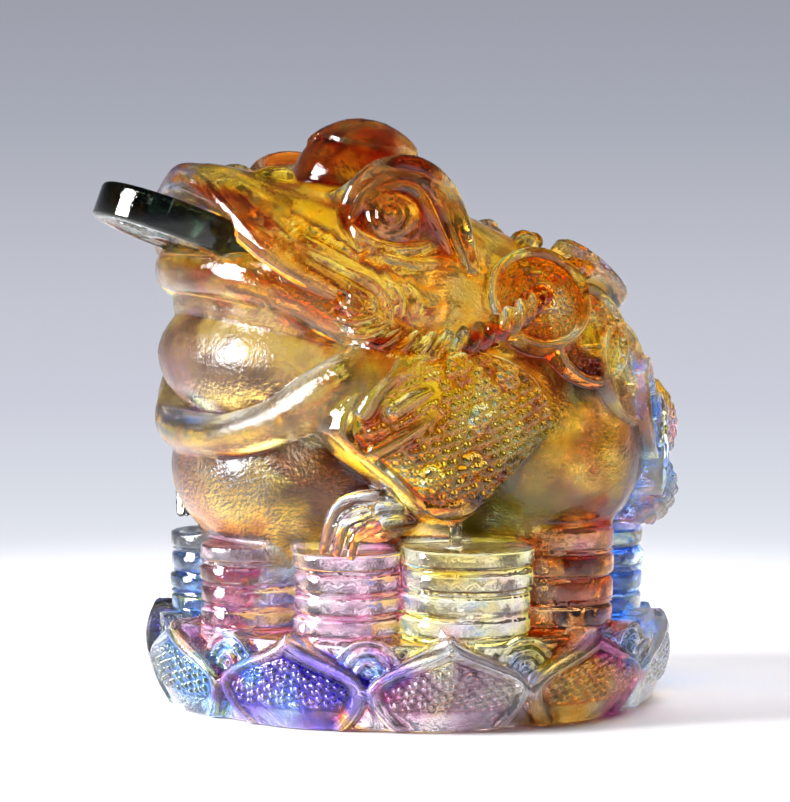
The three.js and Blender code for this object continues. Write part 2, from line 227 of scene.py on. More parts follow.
def lattice(low, high):
    """The lattice's points between two corners: where they are in the wax, and their x, y and z."""
    start = [max(0, int((low[i] - lowest[i]) / step)) for i in range(3)]
    stop = [min(len(axes[i]), int((high[i] - lowest[i]) / step) + 2) for i in range(3)]
    block = tuple(slice(a, b) for a, b in zip(start, stop))
    x = axes[0][block[0]][:, None, None]
    y = axes[1][block[1]][None, :, None]
    z = axes[2][block[2]][None, None, :]
    return block, x, y, z


def soft_least(a, b, soft):
    """The smaller of two distances, lowered by a quadratic of their difference where that is under soft."""
    mix = np.clip(0.5 + 0.5 * (b - a) / soft, 0.0, 1.0)
    return b + (a - b) * mix - soft * mix * (1.0 - mix)


def add(form, soft, sign=1):
    """Joins a form to the wax with a fillet of about soft: the softly smaller of the two distances."""
    low, high, distance = form
    room = 1.5 * soft + 1
    block, x, y, z = lattice(np.subtract(low, room), np.add(high, room))
    wax[block] = sign * soft_least(sign * wax[block], distance(x, y, z), soft)


def cut(form, soft):
    """Takes a form out of the wax with a rounded edge of about soft: the same with the wax's sign turned."""
    add(form, soft, sign=-1)


def evened(shape):
    """A level function made nearly a distance: itself over the length of its own slope on the lattice."""
    slopes = np.gradient(shape, step)
    return shape / np.maximum(np.sqrt(sum(slope * slope for slope in slopes)), 1e-3)


def ball(centre, radii, pitch=0.0):
    """An ellipsoid: the scaled radius k gives the distance k(k - 1) over the scaled slope."""
    tilt = math.radians(pitch)

    def distance(x, y, z):
        dx = x - centre[0]
        dy = (y - centre[1]) * math.cos(tilt) + (z - centre[2]) * math.sin(tilt)
        dz = (z - centre[2]) * math.cos(tilt) - (y - centre[1]) * math.sin(tilt)
        whole = np.sqrt((dx / radii[0]) ** 2 + (dy / radii[1]) ** 2 + (dz / radii[2]) ** 2)
        slope = np.sqrt((dx / radii[0] ** 2) ** 2 + (dy / radii[1] ** 2) ** 2 + (dz / radii[2] ** 2) ** 2)
        return whole * (whole - 1.0) / np.maximum(slope, 1e-4)

    reach = np.array([radii[0], max(radii[1:]), max(radii[1:])]) if pitch else np.array(radii)
    return np.array(centre) - reach, np.array(centre) + reach, distance


def spline(places, count):
    """Points on the Catmull-Rom curve through the places, evenly spread over its parameter."""
    knots = np.array(places, dtype=float)
    knots = np.vstack([2 * knots[0] - knots[1], knots, 2 * knots[-1] - knots[-2]])
    share = np.linspace(0.0, len(places) - 1 - 1e-9, count)
    start = share.astype(int)
    t = (share - start)[:, None]
    a, b, c, d = (knots[start + i] for i in range(4))
    bend, twist = 2 * a - 5 * b + 4 * c - d, 3 * b - a - 3 * c + d
    return 0.5 * (2 * b + (c - a) * t + bend * t ** 2 + twist * t ** 3)


def roll(places, radii, count, flat=1.0):
    """A tube along the curve through the places: the least distance to its straight spans, less the radius,
    which runs through the given radii. flat stretches its section upwards."""
    points = spline(places, count)
    sizes = np.interp(np.linspace(0, 1, count), np.linspace(0, 1, len(radii)), radii)
    squeeze = np.array([1.0, 1.0, 1.0 / flat])

    def distance(x, y, z):
        best = None
        for a, b, size_a, size_b in zip(points[:-1] * squeeze, points[1:] * squeeze, sizes[:-1], sizes[1:]):
            run = b - a
            dx, dy, dz = x - a[0], y - a[1], z / flat - a[2]
            share = np.clip((dx * run[0] + dy * run[1] + dz * run[2]) / max(run @ run, 1e-9), 0.0, 1.0)
            off_x, off_y, off_z = dx - share * run[0], dy - share * run[1], dz - share * run[2]
            gap = np.sqrt(off_x ** 2 + off_y ** 2 + off_z ** 2)
            gap = gap - (size_a + share * (size_b - size_a))
            best = gap if best is None else np.minimum(best, gap)
        return best

    widest = max(radii) * flat
    return points.min(axis=0) - widest, points.max(axis=0) + widest, distance


def wax_at(places):
    """The distance at any places: the eight lattice points round each one, weighted by nearness."""
    spot = (places - lowest) / step
    corner = np.clip(np.floor(spot).astype(int), 0, np.array(wax.shape) - 2)
    share = spot - corner
    value = np.zeros(len(places))
    for i, j, k in np.ndindex(2, 2, 2):
        weight = np.abs(1 - i - share[:, 0]) * np.abs(1 - j - share[:, 1]) * np.abs(1 - k - share[:, 2])
        value += weight * wax[corner[:, 0] + i, corner[:, 1] + j, corner[:, 2] + k]
    return value


seat_slide = 14.0
seat_step = 0.2


def seated(places, lift):
    """Places slid along the line that the camera looks along until they stand over the wax by the lift."""
    found = []
    for place in places:
        line = np.array(place) + np.arange(seat_slide, -seat_slide, -seat_step)[:, None] * near
        over = wax_at(line)
        meets = (over[1:] < lift) & (over[:-1] >= lift)
        found.append(tuple(line[np.argmax(meets) + 1] if meets.any() else place))
    return found


def on_side(side, places):
    """The places of the left side, or their mirror images."""
    return [(side * x, y, z) for x, y, z in places]


def across(places):
    """A line over the toad's middle, given from its left end to the middle and mirrored."""
    return on_side(1, places) + on_side(-1, places[-2::-1])


def on_both_sides(carve, places, radii, count, soft):
    """Adds or cuts the roll along the places of the left side, and the one along their mirror images."""
    for side in (1, -1):
        carve(roll(on_side(side, places), radii, count), soft=soft)


# The lotus base: a low drum of the casting with ten ogee petals round it. Each petal has a raised border
# round a sunk, stippled field, and a small sepal with nested arcs fills the gap between two petals.
foot_radius = 41.0
base_height = 14.0
petal_count = 10
petal_turn = math.radians(-15.7)
petal_height = 16.0
petal_width = 27.5
petal_widest = 0.42
petal_border = 2.1
petal_sink = 0.9
petal_bulge = 3.1
petal_bow = 1.5
petal_depth = 5.5
petal_edge = 0.9
petal_room = 14.5
sepal_radius = 5.5
sepal_middle = 15.0 - sepal_radius
sepal_rise = 1.0
sepal_ridge = 0.35
sepal_ridge_pitch = 1.75


def petal_shape(share):
    """A petal's width over its widest: a sine up to the widest place, then a power of a raised cosine."""
    lower = 0.7 + 0.3 * np.sin(math.pi / 2 * np.clip(share, 0, 1) / petal_widest)
    above = math.pi * (np.clip(share, petal_widest, 1) - petal_widest) / (1 - petal_widest)
    upper = (0.5 + 0.5 * np.cos(above)) ** 0.75
    return np.where(share < petal_widest, lower, upper)


def petal_reach(share):
    """How far a petal's face stands from the axis: the foot's radius and a half sine over its height."""
    return foot_radius + petal_bulge * np.sin(math.pi * np.clip(share / 1.15, 0, 1))


def turned(x, y, angle):
    """Distance from the axis, and the angle from a given one, between minus and plus half a turn."""
    off = np.arctan2(y, x) - angle
    return np.hypot(x, y), (off + math.pi) % (2 * math.pi) - math.pi


def petal(index):
    """One petal in place: its outline from the half width at each height, its face from the reach."""
    angle = petal_turn + 2 * math.pi * index / petal_count

    def distance(x, y, z):
        radius, off = turned(x, y, angle)
        share = z / petal_height
        aside = off * petal_reach(share)
        half = petal_width / 2 * petal_shape(share)
        outline = evened(np.abs(aside) - half)
        bow = petal_bow * (1 - np.clip(aside / np.maximum(half, 1), -1, 1) ** 2)
        field = np.clip(-outline - petal_border + 0.5, 0, 1)
        sunk = petal_sink * field * field * (3 - 2 * field)
        face = radius - petal_reach(share) - bow + sunk
        inner = petal_reach(share) - petal_depth - radius
        shell = np.maximum(face, np.maximum(inner, np.maximum(-z, z - petal_height)))
        return -soft_least(-shell, -outline, petal_edge)

    middle = np.array([math.cos(angle), math.sin(angle)]) * (foot_radius - 1)
    low = np.array([*(middle - petal_room), -0.5])
    high = np.array([*(middle + petal_room), petal_height + 0.5])
    return low, high, distance


def sepal(index):
    """A small disc on the drum's side between two petals, with ridges at even steps from its middle."""
    angle = petal_turn + 2 * math.pi * (index + 0.5) / petal_count
    middle = np.array([math.cos(angle), math.sin(angle)]) * foot_radius

    def distance(x, y, z):
        radius, off = turned(x, y, angle)
        spread = np.hypot(off * foot_radius, z - sepal_middle)
        ridges = sepal_ridge * np.cos(2 * math.pi * spread / sepal_ridge_pitch)
        face = radius - foot_radius - sepal_rise - ridges
        return np.maximum(np.maximum(face, spread - sepal_radius), foot_radius - 4 - radius)

    low = np.array([*(middle - 7), sepal_middle - 6])
    high = np.array([*(middle + 7), sepal_middle + 6])
    return low, high, distance


def drum(radius, bottom, top, rounding, centre=(0.0, 0.0)):
    """An upright disc with rounded edges: the distance to the disc less the rounding, less the rounding."""
    half = (top - bottom) / 2

    def distance(x, y, z):
        out = np.hypot(x - centre[0], y - centre[1]) - radius + rounding
        over = np.abs(z - bottom - half) - half + rounding
        beyond = np.hypot(np.maximum(out, 0), np.maximum(over, 0))
        return beyond + np.minimum(np.maximum(out, over), 0) - rounding

    low = np.array([centre[0] - radius, centre[1] - radius, bottom])
    high = np.array([centre[0] + radius, centre[1] + radius, top])
    return low, high, distance


add(drum(foot_radius - 0.5, 0.0, base_height, 0.8), soft=0.3)
for index in range(petal_count):
    add(sepal(index), soft=0.3)
for index in range(petal_count):
    add(petal(index), soft=0.35)


def round_base(degrees, radius, z):
    """A place on the base, from its angle, its distance from the axis and its height."""
    return radius * math.cos(math.radians(degrees)), radius * math.sin(math.radians(degrees)), z


def lay_round(colour, reach, *places):
    """Lays grains on one side only, at places given by their angle, distance from the axis and height."""
    lay(colour, reach, *[round_base(*place) for place in places], both=False)


petal_colours = [mauve, amber, clear, ice_blue, clear, clear, pale_gold, lilac, ice_blue, violet]
for index, colour in enumerate(petal_colours):
    at = math.degrees(petal_turn) + index * 360 / petal_count
    lay_round(colour, 7, (at, 44, 5), (at - 7, 44, 7), (at + 7, 44, 7))
    lay_round(clear, 2.5, (at, 44, 16))
    lay_round(ice_blue, 3.5, (at + 180 / petal_count, 41, 10))
lay_round(violet, 5, (-60, 44, 3), (-45, 44, 12), (-38, 44, 6), (-29, 44, 13))
lay_round(sky_blue, 5, (-63, 44, 11), (-55, 44, 4), (33, 44, 11))
lay_round(magenta, 6, (24, 45, 11), (27, 45, 6), (30, 44, 3))
lay_round(magenta, 3, (-31, 44, 9), (-66, 44, 7))
lay_round(mauve, 4, (-11, 45, 3), (-24, 45, 9), (-88, 44, 3))
lay_round(champagne, 5, (-17, 45, 12), (-6, 45, 7), (-19, 45, 5))
lay_round(brown, 3, (-20, 44, 1), (-44, 44, 1))
lay_round(brown, 5, (9, 44, 3), (18, 45, 5), (14, 45, 10))
lay_round(amber, 3, (18, 45, 9), (-4, 44, 2), (-35, 44, 1))
lay_round(olive, 3.5, (12, 44, 5), (6, 43, 12))

# The stacks: ten piles of coins of the same casting stand in a ring on the base. The coins have rounded
# edges and lie a little unevenly, and the two stacks under the front feet are broader.
stack_count = 10
stack_turn = math.radians(-7)
stack_radius = 8.8
foot_stack_radius = 10.8
foot_stacks = (0, 5)
stack_ring = 31.5
stack_height = 14.2
stack_rise = 2.7
stack_tallest = math.radians(29)
stack_core = 27.0
stacked_coins = 4
coin_slip = 0.25
uneven = np.random.default_rng(5)

add(drum(stack_core, base_height - 2, base_height + stack_height - 0.5, 1.0), soft=0.3)
for index in range(stack_count):
    angle = stack_turn + 2 * math.pi * index / stack_count
    radius = foot_stack_radius if index in foot_stacks else stack_radius
    top = base_height + stack_height + stack_rise * max(0.0, math.cos(angle - stack_tallest)) ** 6
    thickness = (top - base_height) / stacked_coins
    middle = (stack_ring * math.cos(angle), stack_ring * math.sin(angle))
    add(drum(radius - 0.7, base_height - 1, top - 0.5, 0.3, middle), soft=0.15)
    for coin in range(-1, stacked_coins):
        slip = uneven.uniform(-coin_slip, coin_slip, 3)
        centre = (middle[0] + slip[0], middle[1] + slip[1])
        bottom = base_height + coin * thickness
        add(drum(radius + 0.6 * slip[2], bottom + 1.0, bottom + thickness, 0.45, centre), soft=0.05)
        add(drum(radius - 0.2, bottom + 0.35, bottom + 0.65, 0.15, centre), soft=0.05)

stack_colours = [pale_gold, deep_amber, sky_blue, clear, champagne, clear, clear, ice_blue, pink, pink]
for index, colour in enumerate(stack_colours):
    at = math.degrees(stack_turn) + index * 360 / stack_count
    lay_round(colour, 6.5, *[(at + aside, 39, z) for aside in (-9, 0, 9) for z in (17, 22, 27)])
lay_round(magenta, 3, (-46, 41, 25), (-39, 41, 21), (-85, 40, 23))
lay_round(violet, 3, (-35, 41, 17), (-88, 39, 18), (-31, 40, 26))
lay_round(sky_blue, 3, (-53, 40, 17), (-71, 40, 24), (-110, 40, 22))
lay_round(ice_blue, 3.5, (-54, 41, 24), (-78, 40, 17))
lay_round(clear, 5, (-48, 41, 19), (-80, 40, 27), (-42, 41, 27), (-12, 43, 22))
lay_round(lilac, 4, (-72, 40, 20), (-84, 40, 18), (-66, 40, 26))
lay_round(pink, 4.5, (-12, 42, 18), (-6, 42, 26), (-1, 42, 20))
lay_round(honey, 3, (9, 42, 24), (8, 42, 17), (-17, 42, 27))
lay_round(brown, 4.5, (25, 41, 17), (31, 41, 22), (34, 41, 17))
lay_round(honey, 2.5, (18, 41, 20), (27, 41, 25))
lay_round(magenta, 3, (34, 40, 28), (24, 41, 28))
lay(clear, 14, (0, 0, 8), (0, 0, 20))

# The body: belly, hunched back, thighs, jaw and the sac of the throat, smooth and swelling, with the fold
# of skin under the throat that rises to the shoulders. The throat, belly and flanks are cast satin.
body_masses = [
    ((0, -7.5, 40), (31, 33.5, 20)),
    ((0, 7, 48), (35, 37, 28)),
    ((19, 13, 42), (17.5, 20, 16.5)),
    ((-19, 13, 42), (17.5, 20, 16.5)),
    ((0, -16, 67), (32.5, 23.5, 10.5)),
]
for centre, radii in body_masses:
    add(ball(centre, radii), soft=2.5)
add(ball((0, -20, 50), (26, 13, 7)), soft=2.0)

throat_fold = [(34, -17, 58), (32.2, -22.5, 57), (28.2, -28, 53.8), (21.5, -33.2, 49.6), (11.5, -37.4, 46.8),
               (0, -39, 46.2)]
add(roll(across(throat_fold), (4.5, 5.6, 5.0, 3.8, 3.6, 3.6, 3.6, 3.8, 5.0, 5.6, 4.5), 40), soft=0.8)
add(ball((0, -25.2, 58.6), (26.5, 17.4, 12.2)), soft=0.15)

lay(mauve, 5, (-6, -41, 60), (3, -41, 53), (-2, -43, 65), satin=0.9)
lay(pale_gold, 4, (2, -42, 67), (7, -41, 68), (13, -39, 67), satin=0.9)
lay(grey_brown, 4, (4, -42, 62), (9, -40, 59), (12, -39, 53), (16, -37, 57), satin=0.9)
lay(brown, 3.5, (7, -41, 61), (13, -38.5, 59), (4, -42, 63), satin=0.7)
lay(champagne, 5, (20, -35, 65), (23, -32, 61), (10, -40, 64), (25, -28, 57), satin=0.9)
lay(gold, 2.5, (18, -36, 61), (11, -39, 57), satin=0.8)
lay(grey_brown, 5, (22, -33, 57), (17, -37, 53), (10, -40, 55), satin=0.9)
lay(lilac, 2.5, (-4, -42, 57), (20, -34, 52), (26, -27, 60), satin=0.8)
lay(champagne, 6, (18, -36, 49), (27, -29, 54), (30, -25, 58), satin=0.45)
lay(gold, 3, (22, -33, 51), (31, -24, 56), (12, -38, 48), satin=0.3)
lay(grey_brown, 3.5, (24, -32, 49), (30, -27, 51), satin=0.45)
lay(sky_blue, 4, (0, -42, 47), (5, -41, 50), satin=0.2)
lay(clear, 3, (8, -41, 47), (3, -41, 49), satin=0.1)
lay(mauve, 7, (0, -40, 40), (5, -38, 31), (4, -39, 36), satin=0.9)
lay(lilac, 4, (1, -40, 37), (-3, -40, 42), satin=0.9)
lay(champagne, 5, (9, -38, 39), (17, -32, 26), (12, -36, 35), satin=0.9)
lay(honey, 3, (8, -38, 33), (14, -36, 31), satin=0.7)
lay(gold, 4, (16, -35, 38), (21, -30, 36), (27, -24, 32), (24, -27, 29), satin=0.8)
lay(brown, 6, (12, -36, 42), (22, -30, 41), (27, -23, 41), (31, -18, 38), (25, -25, 37), satin=0.6)
lay(grey_brown, 5, (16, -34, 35), (25, -26, 35), (20, -28, 29), (11, -35, 28), satin=0.9)
lay(olive, 6, (37, 8, 46), (34, 20, 42), (33, 6, 34), satin=0.5)
lay(brown, 6.5, (33, 27, 47), (36, 15, 55), (31, 31, 36), (35, 12, 34), (37, 18, 44), (38, 9, 43),
    satin=0.35)
lay(grey_brown, 3.5, (35, 22, 34), (34, 26, 42), (37, 12, 39), (36, 20, 50), satin=0.4)
lay(gold, 3.5, (37, 12, 49), (34, 23, 37), (37, 5, 40), (34, 24, 51), (37, 14, 40), satin=0.3)
lay(deep_amber, 5, (34, 16, 31), (30, 22, 30), (36, 9, 56), satin=0.3)
lay(amber, 8, (36, 12, 60), (34, 4, 66), (30, 22, 64))
lay(honey, 12, (0, 20, 80), (16, 14, 78), (15, 28, 74), (0, 34, 70))
lay(honey, 12, (0, 44, 62), (14, 40, 60), (26, 28, 70))

# The head: a broad arch from the lip back to the nape, with a rolled upper lip that is creased along its
# top and a heavy lower lip. It is part of the casting. A station is (y, half width, top, low line).
head_stations = [
    (-42.7, 1, 88.2, 87.2), (-41.4, 4.5, 89.6, 86), (-39.8, 9, 90.6, 84.2), (-37.6, 15, 91, 81.3),
    (-35, 20.5, 90.8, 77.5), (-31.5, 25.5, 90, 73.5), (-26.5, 29.8, 88.8, 70), (-20, 31.5, 88, 67),
    (-10, 32, 87.5, 62), (2, 32, 84.5, 58), (14, 29, 79.5, 56), (24, 22, 74, 55), (30, 8, 66, 58),
]
arch_power = 2.35


def by_station(stations, column):
    """One column of the stations as a smooth table over their first column."""
    knots = np.array(stations, dtype=float)
    table = spline(knots[:, [0, column, 0]], 60)
    return lambda place: np.interp(place, table[:, 0], table[:, 1])


def arch(stations):
    """Sections across the head: half a superellipse over the low line, width and top from the stations."""
    half_at, top_at, low_at = (by_station(stations, column) for column in (1, 2, 3))

    def distance(x, y, z):
        half, top, low = half_at(y), top_at(y), low_at(y)
        rise = np.maximum(z - low, 0) / np.maximum(top - low, 1)
        wide = np.abs(x) / np.maximum(half, 0.5)
        level = (wide ** arch_power + rise ** arch_power) ** (1 / arch_power) - 1
        ends = np.maximum(stations[0][0] - y, y - stations[-1][0])
        return np.maximum(evened(level), np.maximum(low - z, ends))

    return np.array([-33, stations[0][0], 55]), np.array([33, stations[-1][0], 92]), distance


add(arch(head_stations), soft=2.0)

lower_lip = [(34, -10, 60), (32.5, -18, 62.5), (28.5, -25.5, 67), (23, -31, 70.5), (13.5, -37, 73),
             (0, -40, 73.8)]
add(roll(across(lower_lip), (2.2, 3.2, 3.4, 3.4, 3.4, 3.2, 2.2), 34, flat=1.25), soft=0.8)
upper_lip = [(32, -22, 68.8), (28, -29.8, 73.5), (24.3, -33.6, 76.7), (19, -36.4, 80.3), (13, -37.9, 83.9),
             (7, -38.5, 86.6), (0, -39.8, 87.8)]
add(roll(across(upper_lip), (1.6, 2.9, 3.1, 3.4, 3.1, 2.9, 1.6), 36), soft=0.7)
lip_ridge = [(9.2, -38.7, 88.2), (19, -34.9, 83), (24.8, -32.1, 78.6), (29.6, -25.8, 74.9),
             (32.6, -20.2, 70.8)]
lip_crease = [(20, -33, 84.6), (25.8, -29.6, 80.4), (30.6, -23.5, 76.2), (33.4, -18.2, 72.2)]
on_both_sides(add, seated(lip_ridge, -0.2), (0.3, 0.5, 0.9, 1.0, 0.4), 18, soft=0.3)
on_both_sides(cut, seated(lip_crease, 0.2), (0.2, 0.6, 0.7, 0.6, 0.2), 18, soft=0.4)

lay(ice_blue, 3, (0, -42, 88), (5, -41, 88), (3, -42, 85))
lay(bottle_green, 2.5, (2, -42, 86.5), (8, -40, 87), (5, -42, 84))
lay(red_brown, 4.5, (9, -39.5, 86), (14, -38.5, 83.5), (21, -35.5, 79.5), (28, -30, 74.5), (3, -41, 88.5))
lay(deep_amber, 4.5, (12, -39, 85), (17.5, -37.5, 81.5), (24.5, -33.5, 77), (31, -26, 72), (32.5, -22, 69.5))
lay(amber, 4, (20, -37, 78), (26, -33, 74.5), (29, -29, 72), (33, -17, 64))
lay(honey, 2.5, (18, -37, 79), (23, -35, 76), (12, -39, 82))
lay(olive, 5, (0, -34, 91), (8, -30, 91), (12, -32, 89), (0, -22, 88), (6, -37, 90.5))
lay(brown, 3, (13, -28, 89), (17, -31, 87), (10, -35, 90), (20, -32, 84))
lay(gold, 5, (22, -30, 83), (27, -26, 78), (30, -20, 76), (16, -33, 87))
lay(olive, 3, (20, -29, 85), (25, -29, 80), (29, -24, 78))
lay(pale_gold, 6, (31, -17, 72), (32, -12, 69), (30, -23, 74), (33, -8, 67), (33, -13, 66))
lay(gold, 6, (33, -4, 70), (33, 2, 72), (30, 4, 78), (32, -10, 72))
lay(pale_gold, 6, (33, -10, 71), (33, -5, 69), (34, -14, 68), (32.5, -20, 71), (33, 0, 69))
lay(amber, 3.5, (34, -2, 66), (34, 6, 68), (33, 3, 76))
lay(amber, 5, (13.5, -39, 73), (23, -33, 70), (29, -27, 67), (33, -18, 61))
lay(honey, 4, (5, -42, 73), (9, -41, 76), (18, -37, 74), (0, -43, 76))
lay(amber, 4, (4, -42.5, 71), (10, -41, 72.5), (17, -38, 71), (22, -34.5, 71), (27, -29, 68.5))
lay(red_brown, 3, (10, -41, 70), (18, -38, 68.5), (26, -31, 66), (14, -39, 76.5))
lay(champagne, 3, (0, -43, 73), (4, -42, 70), satin=0.2)
lay(clear, 2, (24, -34, 72), (28, -30, 69.5), (31, -26, 67))
lay(gold, 8, (0, -5, 84), (14, -20, 88))
lay(honey, 9, (20, 4, 84), (10, 8, 82))

# The eyes: a swelling with the ringed eyeball set in it, under three heavy brow ridges, with lids round it,
# a line down to the lip, three folds on the cheek and a low mound on the snout. All are carved in the wax.
outer_brow = [(21, -21.4, 81.8), (22, -20.6, 84.4), (22.5, -19, 87.6), (23, -16.2, 90), (23.5, -11.9, 91),
              (24.3, -7.9, 89.9), (24.7, -4.8, 86.6), (25.9, -3, 82), (27.2, -2, 77.5), (28.6, -1, 73.8)]
middle_brow = [(23.5, -20.9, 82.4), (24.8, -20.2, 84.4), (25.4, -18.8, 86.6), (25.8, -16.3, 88.5),
               (26, -12.8, 89.2), (26.5, -9.4, 87.9), (27.4, -7, 85), (28.3, -5.3, 81.2), (29.2, -3.8, 77.1),
               (29.8, -2.4, 73.8)]
inner_brow = [(26, -19.4, 84.2), (27, -18.2, 86), (27.6, -16.2, 87.2), (28, -13.5, 87.5), (28, -10.8, 86.2),
              (28.3, -9.1, 83.4), (28.9, -7.6, 80.1), (29.6, -6.1, 76.8)]
upper_lid = [(24.5, -21.6, 81.6), (26.8, -20.4, 79.2), (28.6, -17, 77.6), (29.6, -13.3, 77.4),
             (29.6, -10, 78)]
lower_lid = [(28, -20.3, 77.8), (29.7, -17.7, 76.1), (30.7, -14.3, 75.1), (31, -10.5, 74.8),
             (30.6, -6.8, 75)]
tear_line = [(24.4, -23.6, 83.4), (26.2, -22.8, 80.6), (28.6, -21.8, 77.8)]
cheek_folds = [
    [(31.0, -24.2, 74.3), (32.6, -21.3, 72.2), (33.6, -19.3, 69.5), (34.2, -18.7, 66.0)],
    [(33.0, -19.6, 72.7), (34.1, -17.8, 70.0), (34.6, -17.2, 66.3)],
    [(33.6, -16.2, 71.6), (34.5, -14.8, 69.3), (34.8, -14.3, 66.6)],
]
eye_centre = np.array([25.0, -14.6, 81.9])
eye_radius = 4.9
eye_rings = (2.9, 1.5)
eye_ring_width = 0.35
eye_ring_depth = 0.55
looks_out = np.array([0.86, -0.42, 0.28])


def eyeball(side):
    """A ball with a groove at each ring: a bell curve of how far round the ball a place is from its look."""
    out = looks_out / np.linalg.norm(looks_out)

    def distance(x, y, z):
        dx, dy, dz = side * x - eye_centre[0], y - eye_centre[1], z - eye_centre[2]
        reach = np.sqrt(dx * dx + dy * dy + dz * dz)
        aim = np.clip((dx * out[0] + dy * out[1] + dz * out[2]) / np.maximum(reach, 0.5), -1, 1)
        off = np.arccos(aim) * 5.0
        groove = eye_ring_depth * sum(np.exp(-((off - ring) / eye_ring_width) ** 2) for ring in eye_rings)
        return reach - eye_radius + groove

    middle = eye_centre * (side, 1, 1)
    return middle - 5, middle + 5, distance


for side in (1, -1):
    add(ball((side * 19.5, -11.8, 80), (8.6, 12, 10.6)), soft=2.0)
    add(roll(on_side(side, outer_brow), (0.9, 1.5, 1.7, 1.7, 1.7, 1.8, 2.0, 2.0, 1.6, 0.8), 30), soft=0.5)
    add(ball((side * 9, -29, 88), (3, 4.5, 2.6), 12), soft=1.0)
eye_lines = [
    (middle_brow, (0.6, 1.0, 1.15, 1.15, 1.15, 1.2, 1.1, 0.6), 0.15, 0.1),
    (inner_brow, (0.6, 0.9, 1.0, 1.0, 0.9, 0.5), 0.15, 0.1),
    (upper_lid, (0.5, 1.0, 1.1, 1.0, 0.5), 0.0, 0.15),
    (lower_lid, (0.4, 0.9, 1.0, 0.9, 0.4), -0.1, 0.2),
    *[(cheek_fold, (0.4, 1.1, 1.2, 0.4), -0.1, 0.2) for cheek_fold in cheek_folds],
]
for places, radii, lift, soft in eye_lines:
    on_both_sides(add, seated(places, lift), radii, 22, soft)
on_both_sides(cut, seated(tear_line, 0.1), (0.3, 0.8, 0.3), 10, soft=0.5)
for side in (1, -1):
    add(eyeball(side), soft=0.15)

lay(amber, 4.5, (27, -17, 82), (29, -15, 83), (24, -19, 81), (30, -14, 81), (29, -17, 83))
lay(deep_amber, 3, (27, -15, 86), (29, -12, 80), (28, -18, 79), (26, -20, 83))
lay(amber, 4, (22, -17, 88), (23, -11, 91), (26, -10, 85), (26, -16, 87))
lay(deep_amber, 6, (22, -19.5, 87), (23, -15, 91), (24.5, -9, 90.5), (27, -8, 85), (22, -21, 84),
    (25.5, -13, 89))
lay(red_brown, 2.5, (24, -20, 86), (26.5, -11, 87.5), (22.5, -17, 90))
lay(olive, 3, (25, -5, 86), (27, -6, 82))
lay(bottle_green, 2.5, (25.5, -3.5, 84), (27.5, -3, 79))
lay(sky_blue, 2, (25.5, -3.5, 86), (26.8, -1.6, 80))
lay(amber, 3, (28.5, -1.5, 75), (28, -6, 76))
lay(pale_gold, 2.5, (26, -21, 78), (29.5, -14, 76), (30.5, -9, 74))
lay(red_brown, 2, (28, -18, 76.5), (30, -11, 76.2))

# The ball on the crown: part of the casting, its top carved as a comma of three arcs that stands up a
# little from the rest.
crown_centre = np.array([0.0, -9.1, 86.0])
crown_radius = 11.6
comma_rise = 0.8
comma_disc = (1.3, 1.3, 8.4)
comma_bite = (-6.2, -3.2, 4.6)
comma_head = (-2.2, -6.4, 1.9)
comma_above = 3.0


def comma():
    """The crown's ball grown by the rise, inside a disc seen from above less the bite, and in the head."""
    def distance(x, y, z):
        dx, dy, dz = x - crown_centre[0], y - crown_centre[1], z - crown_centre[2]
        shell = np.sqrt(dx * dx + dy * dy + dz * dz) - crown_radius - comma_rise
        disc, bite, head = (np.hypot(dx - middle_x, dy - middle_y) - radius
                            for middle_x, middle_y, radius in (comma_disc, comma_bite, comma_head))
        plan = np.minimum(np.maximum(disc, -bite), head)
        return -soft_least(-shell, -np.maximum(plan, comma_above - dz), 0.35)

    return crown_centre - crown_radius - 1, crown_centre + crown_radius + 1, distance


add(ball(crown_centre, (crown_radius,) * 3), soft=0.6)
add(comma(), soft=0.12)

lay(deep_amber, 6, (0, -14, 92), (6, -14, 88), (8, -8, 90), (0, -18, 88))
lay(red_brown, 5.5, (4, -18, 86), (10, -10, 86), (2, -8, 96), (7, -16, 90), (0, -20, 88))
lay(amber, 4, (0, -4, 98), (5, -3, 96), (2, -12, 97), (9, -4, 92))
lay(honey, 2.5, (0, -8, 98), (7, -2, 95))

# The front legs: a pear-shaped pad with a smooth band round its front, set against the body over a small
# heel and a toed foot that rests on a broad stack. They are carved in the wax, with folds and warts.
pad_centre = np.array([-9.5, 48.5])
pad_half_length = 19.5
pad_rise = 13.0
pad_face = 39.6
pad_fall = 3.2
pad_bend = 0.004
pad_back = 26.0
pad_edge = 1.4
pad_rim, pad_rim_slope = 1.03, 11.0
pad_narrows, pad_deepens = 0.45, 2.0
band_rise = 1.1
band_at, band_width = 0.96, 0.05
channel_sink = 0.7
channel_at, channel_width = 0.86, 0.04
band_turn = 0.25
band_half_turn = 1.9


def eased(value, low, high):
    """A smooth step from nought at low to one at high."""
    t = np.clip((value - low) / (high - low), 0, 1)
    return t * t * (3 - 2 * t)


def pad_outline(y, z):
    """Share of the way from the pad's middle to its outline, an oval that is narrower and taller below."""
    dy, dz = y - pad_centre[0], z - pad_centre[1]
    turn = np.arctan2(dz / pad_rise, dy / pad_half_length)
    lower = np.maximum(0, -np.sin(turn))
    wide = pad_half_length * (1 - pad_narrows * lower)
    tall = pad_rise + pad_deepens * lower
    return np.hypot(dy / wide, dz / tall)


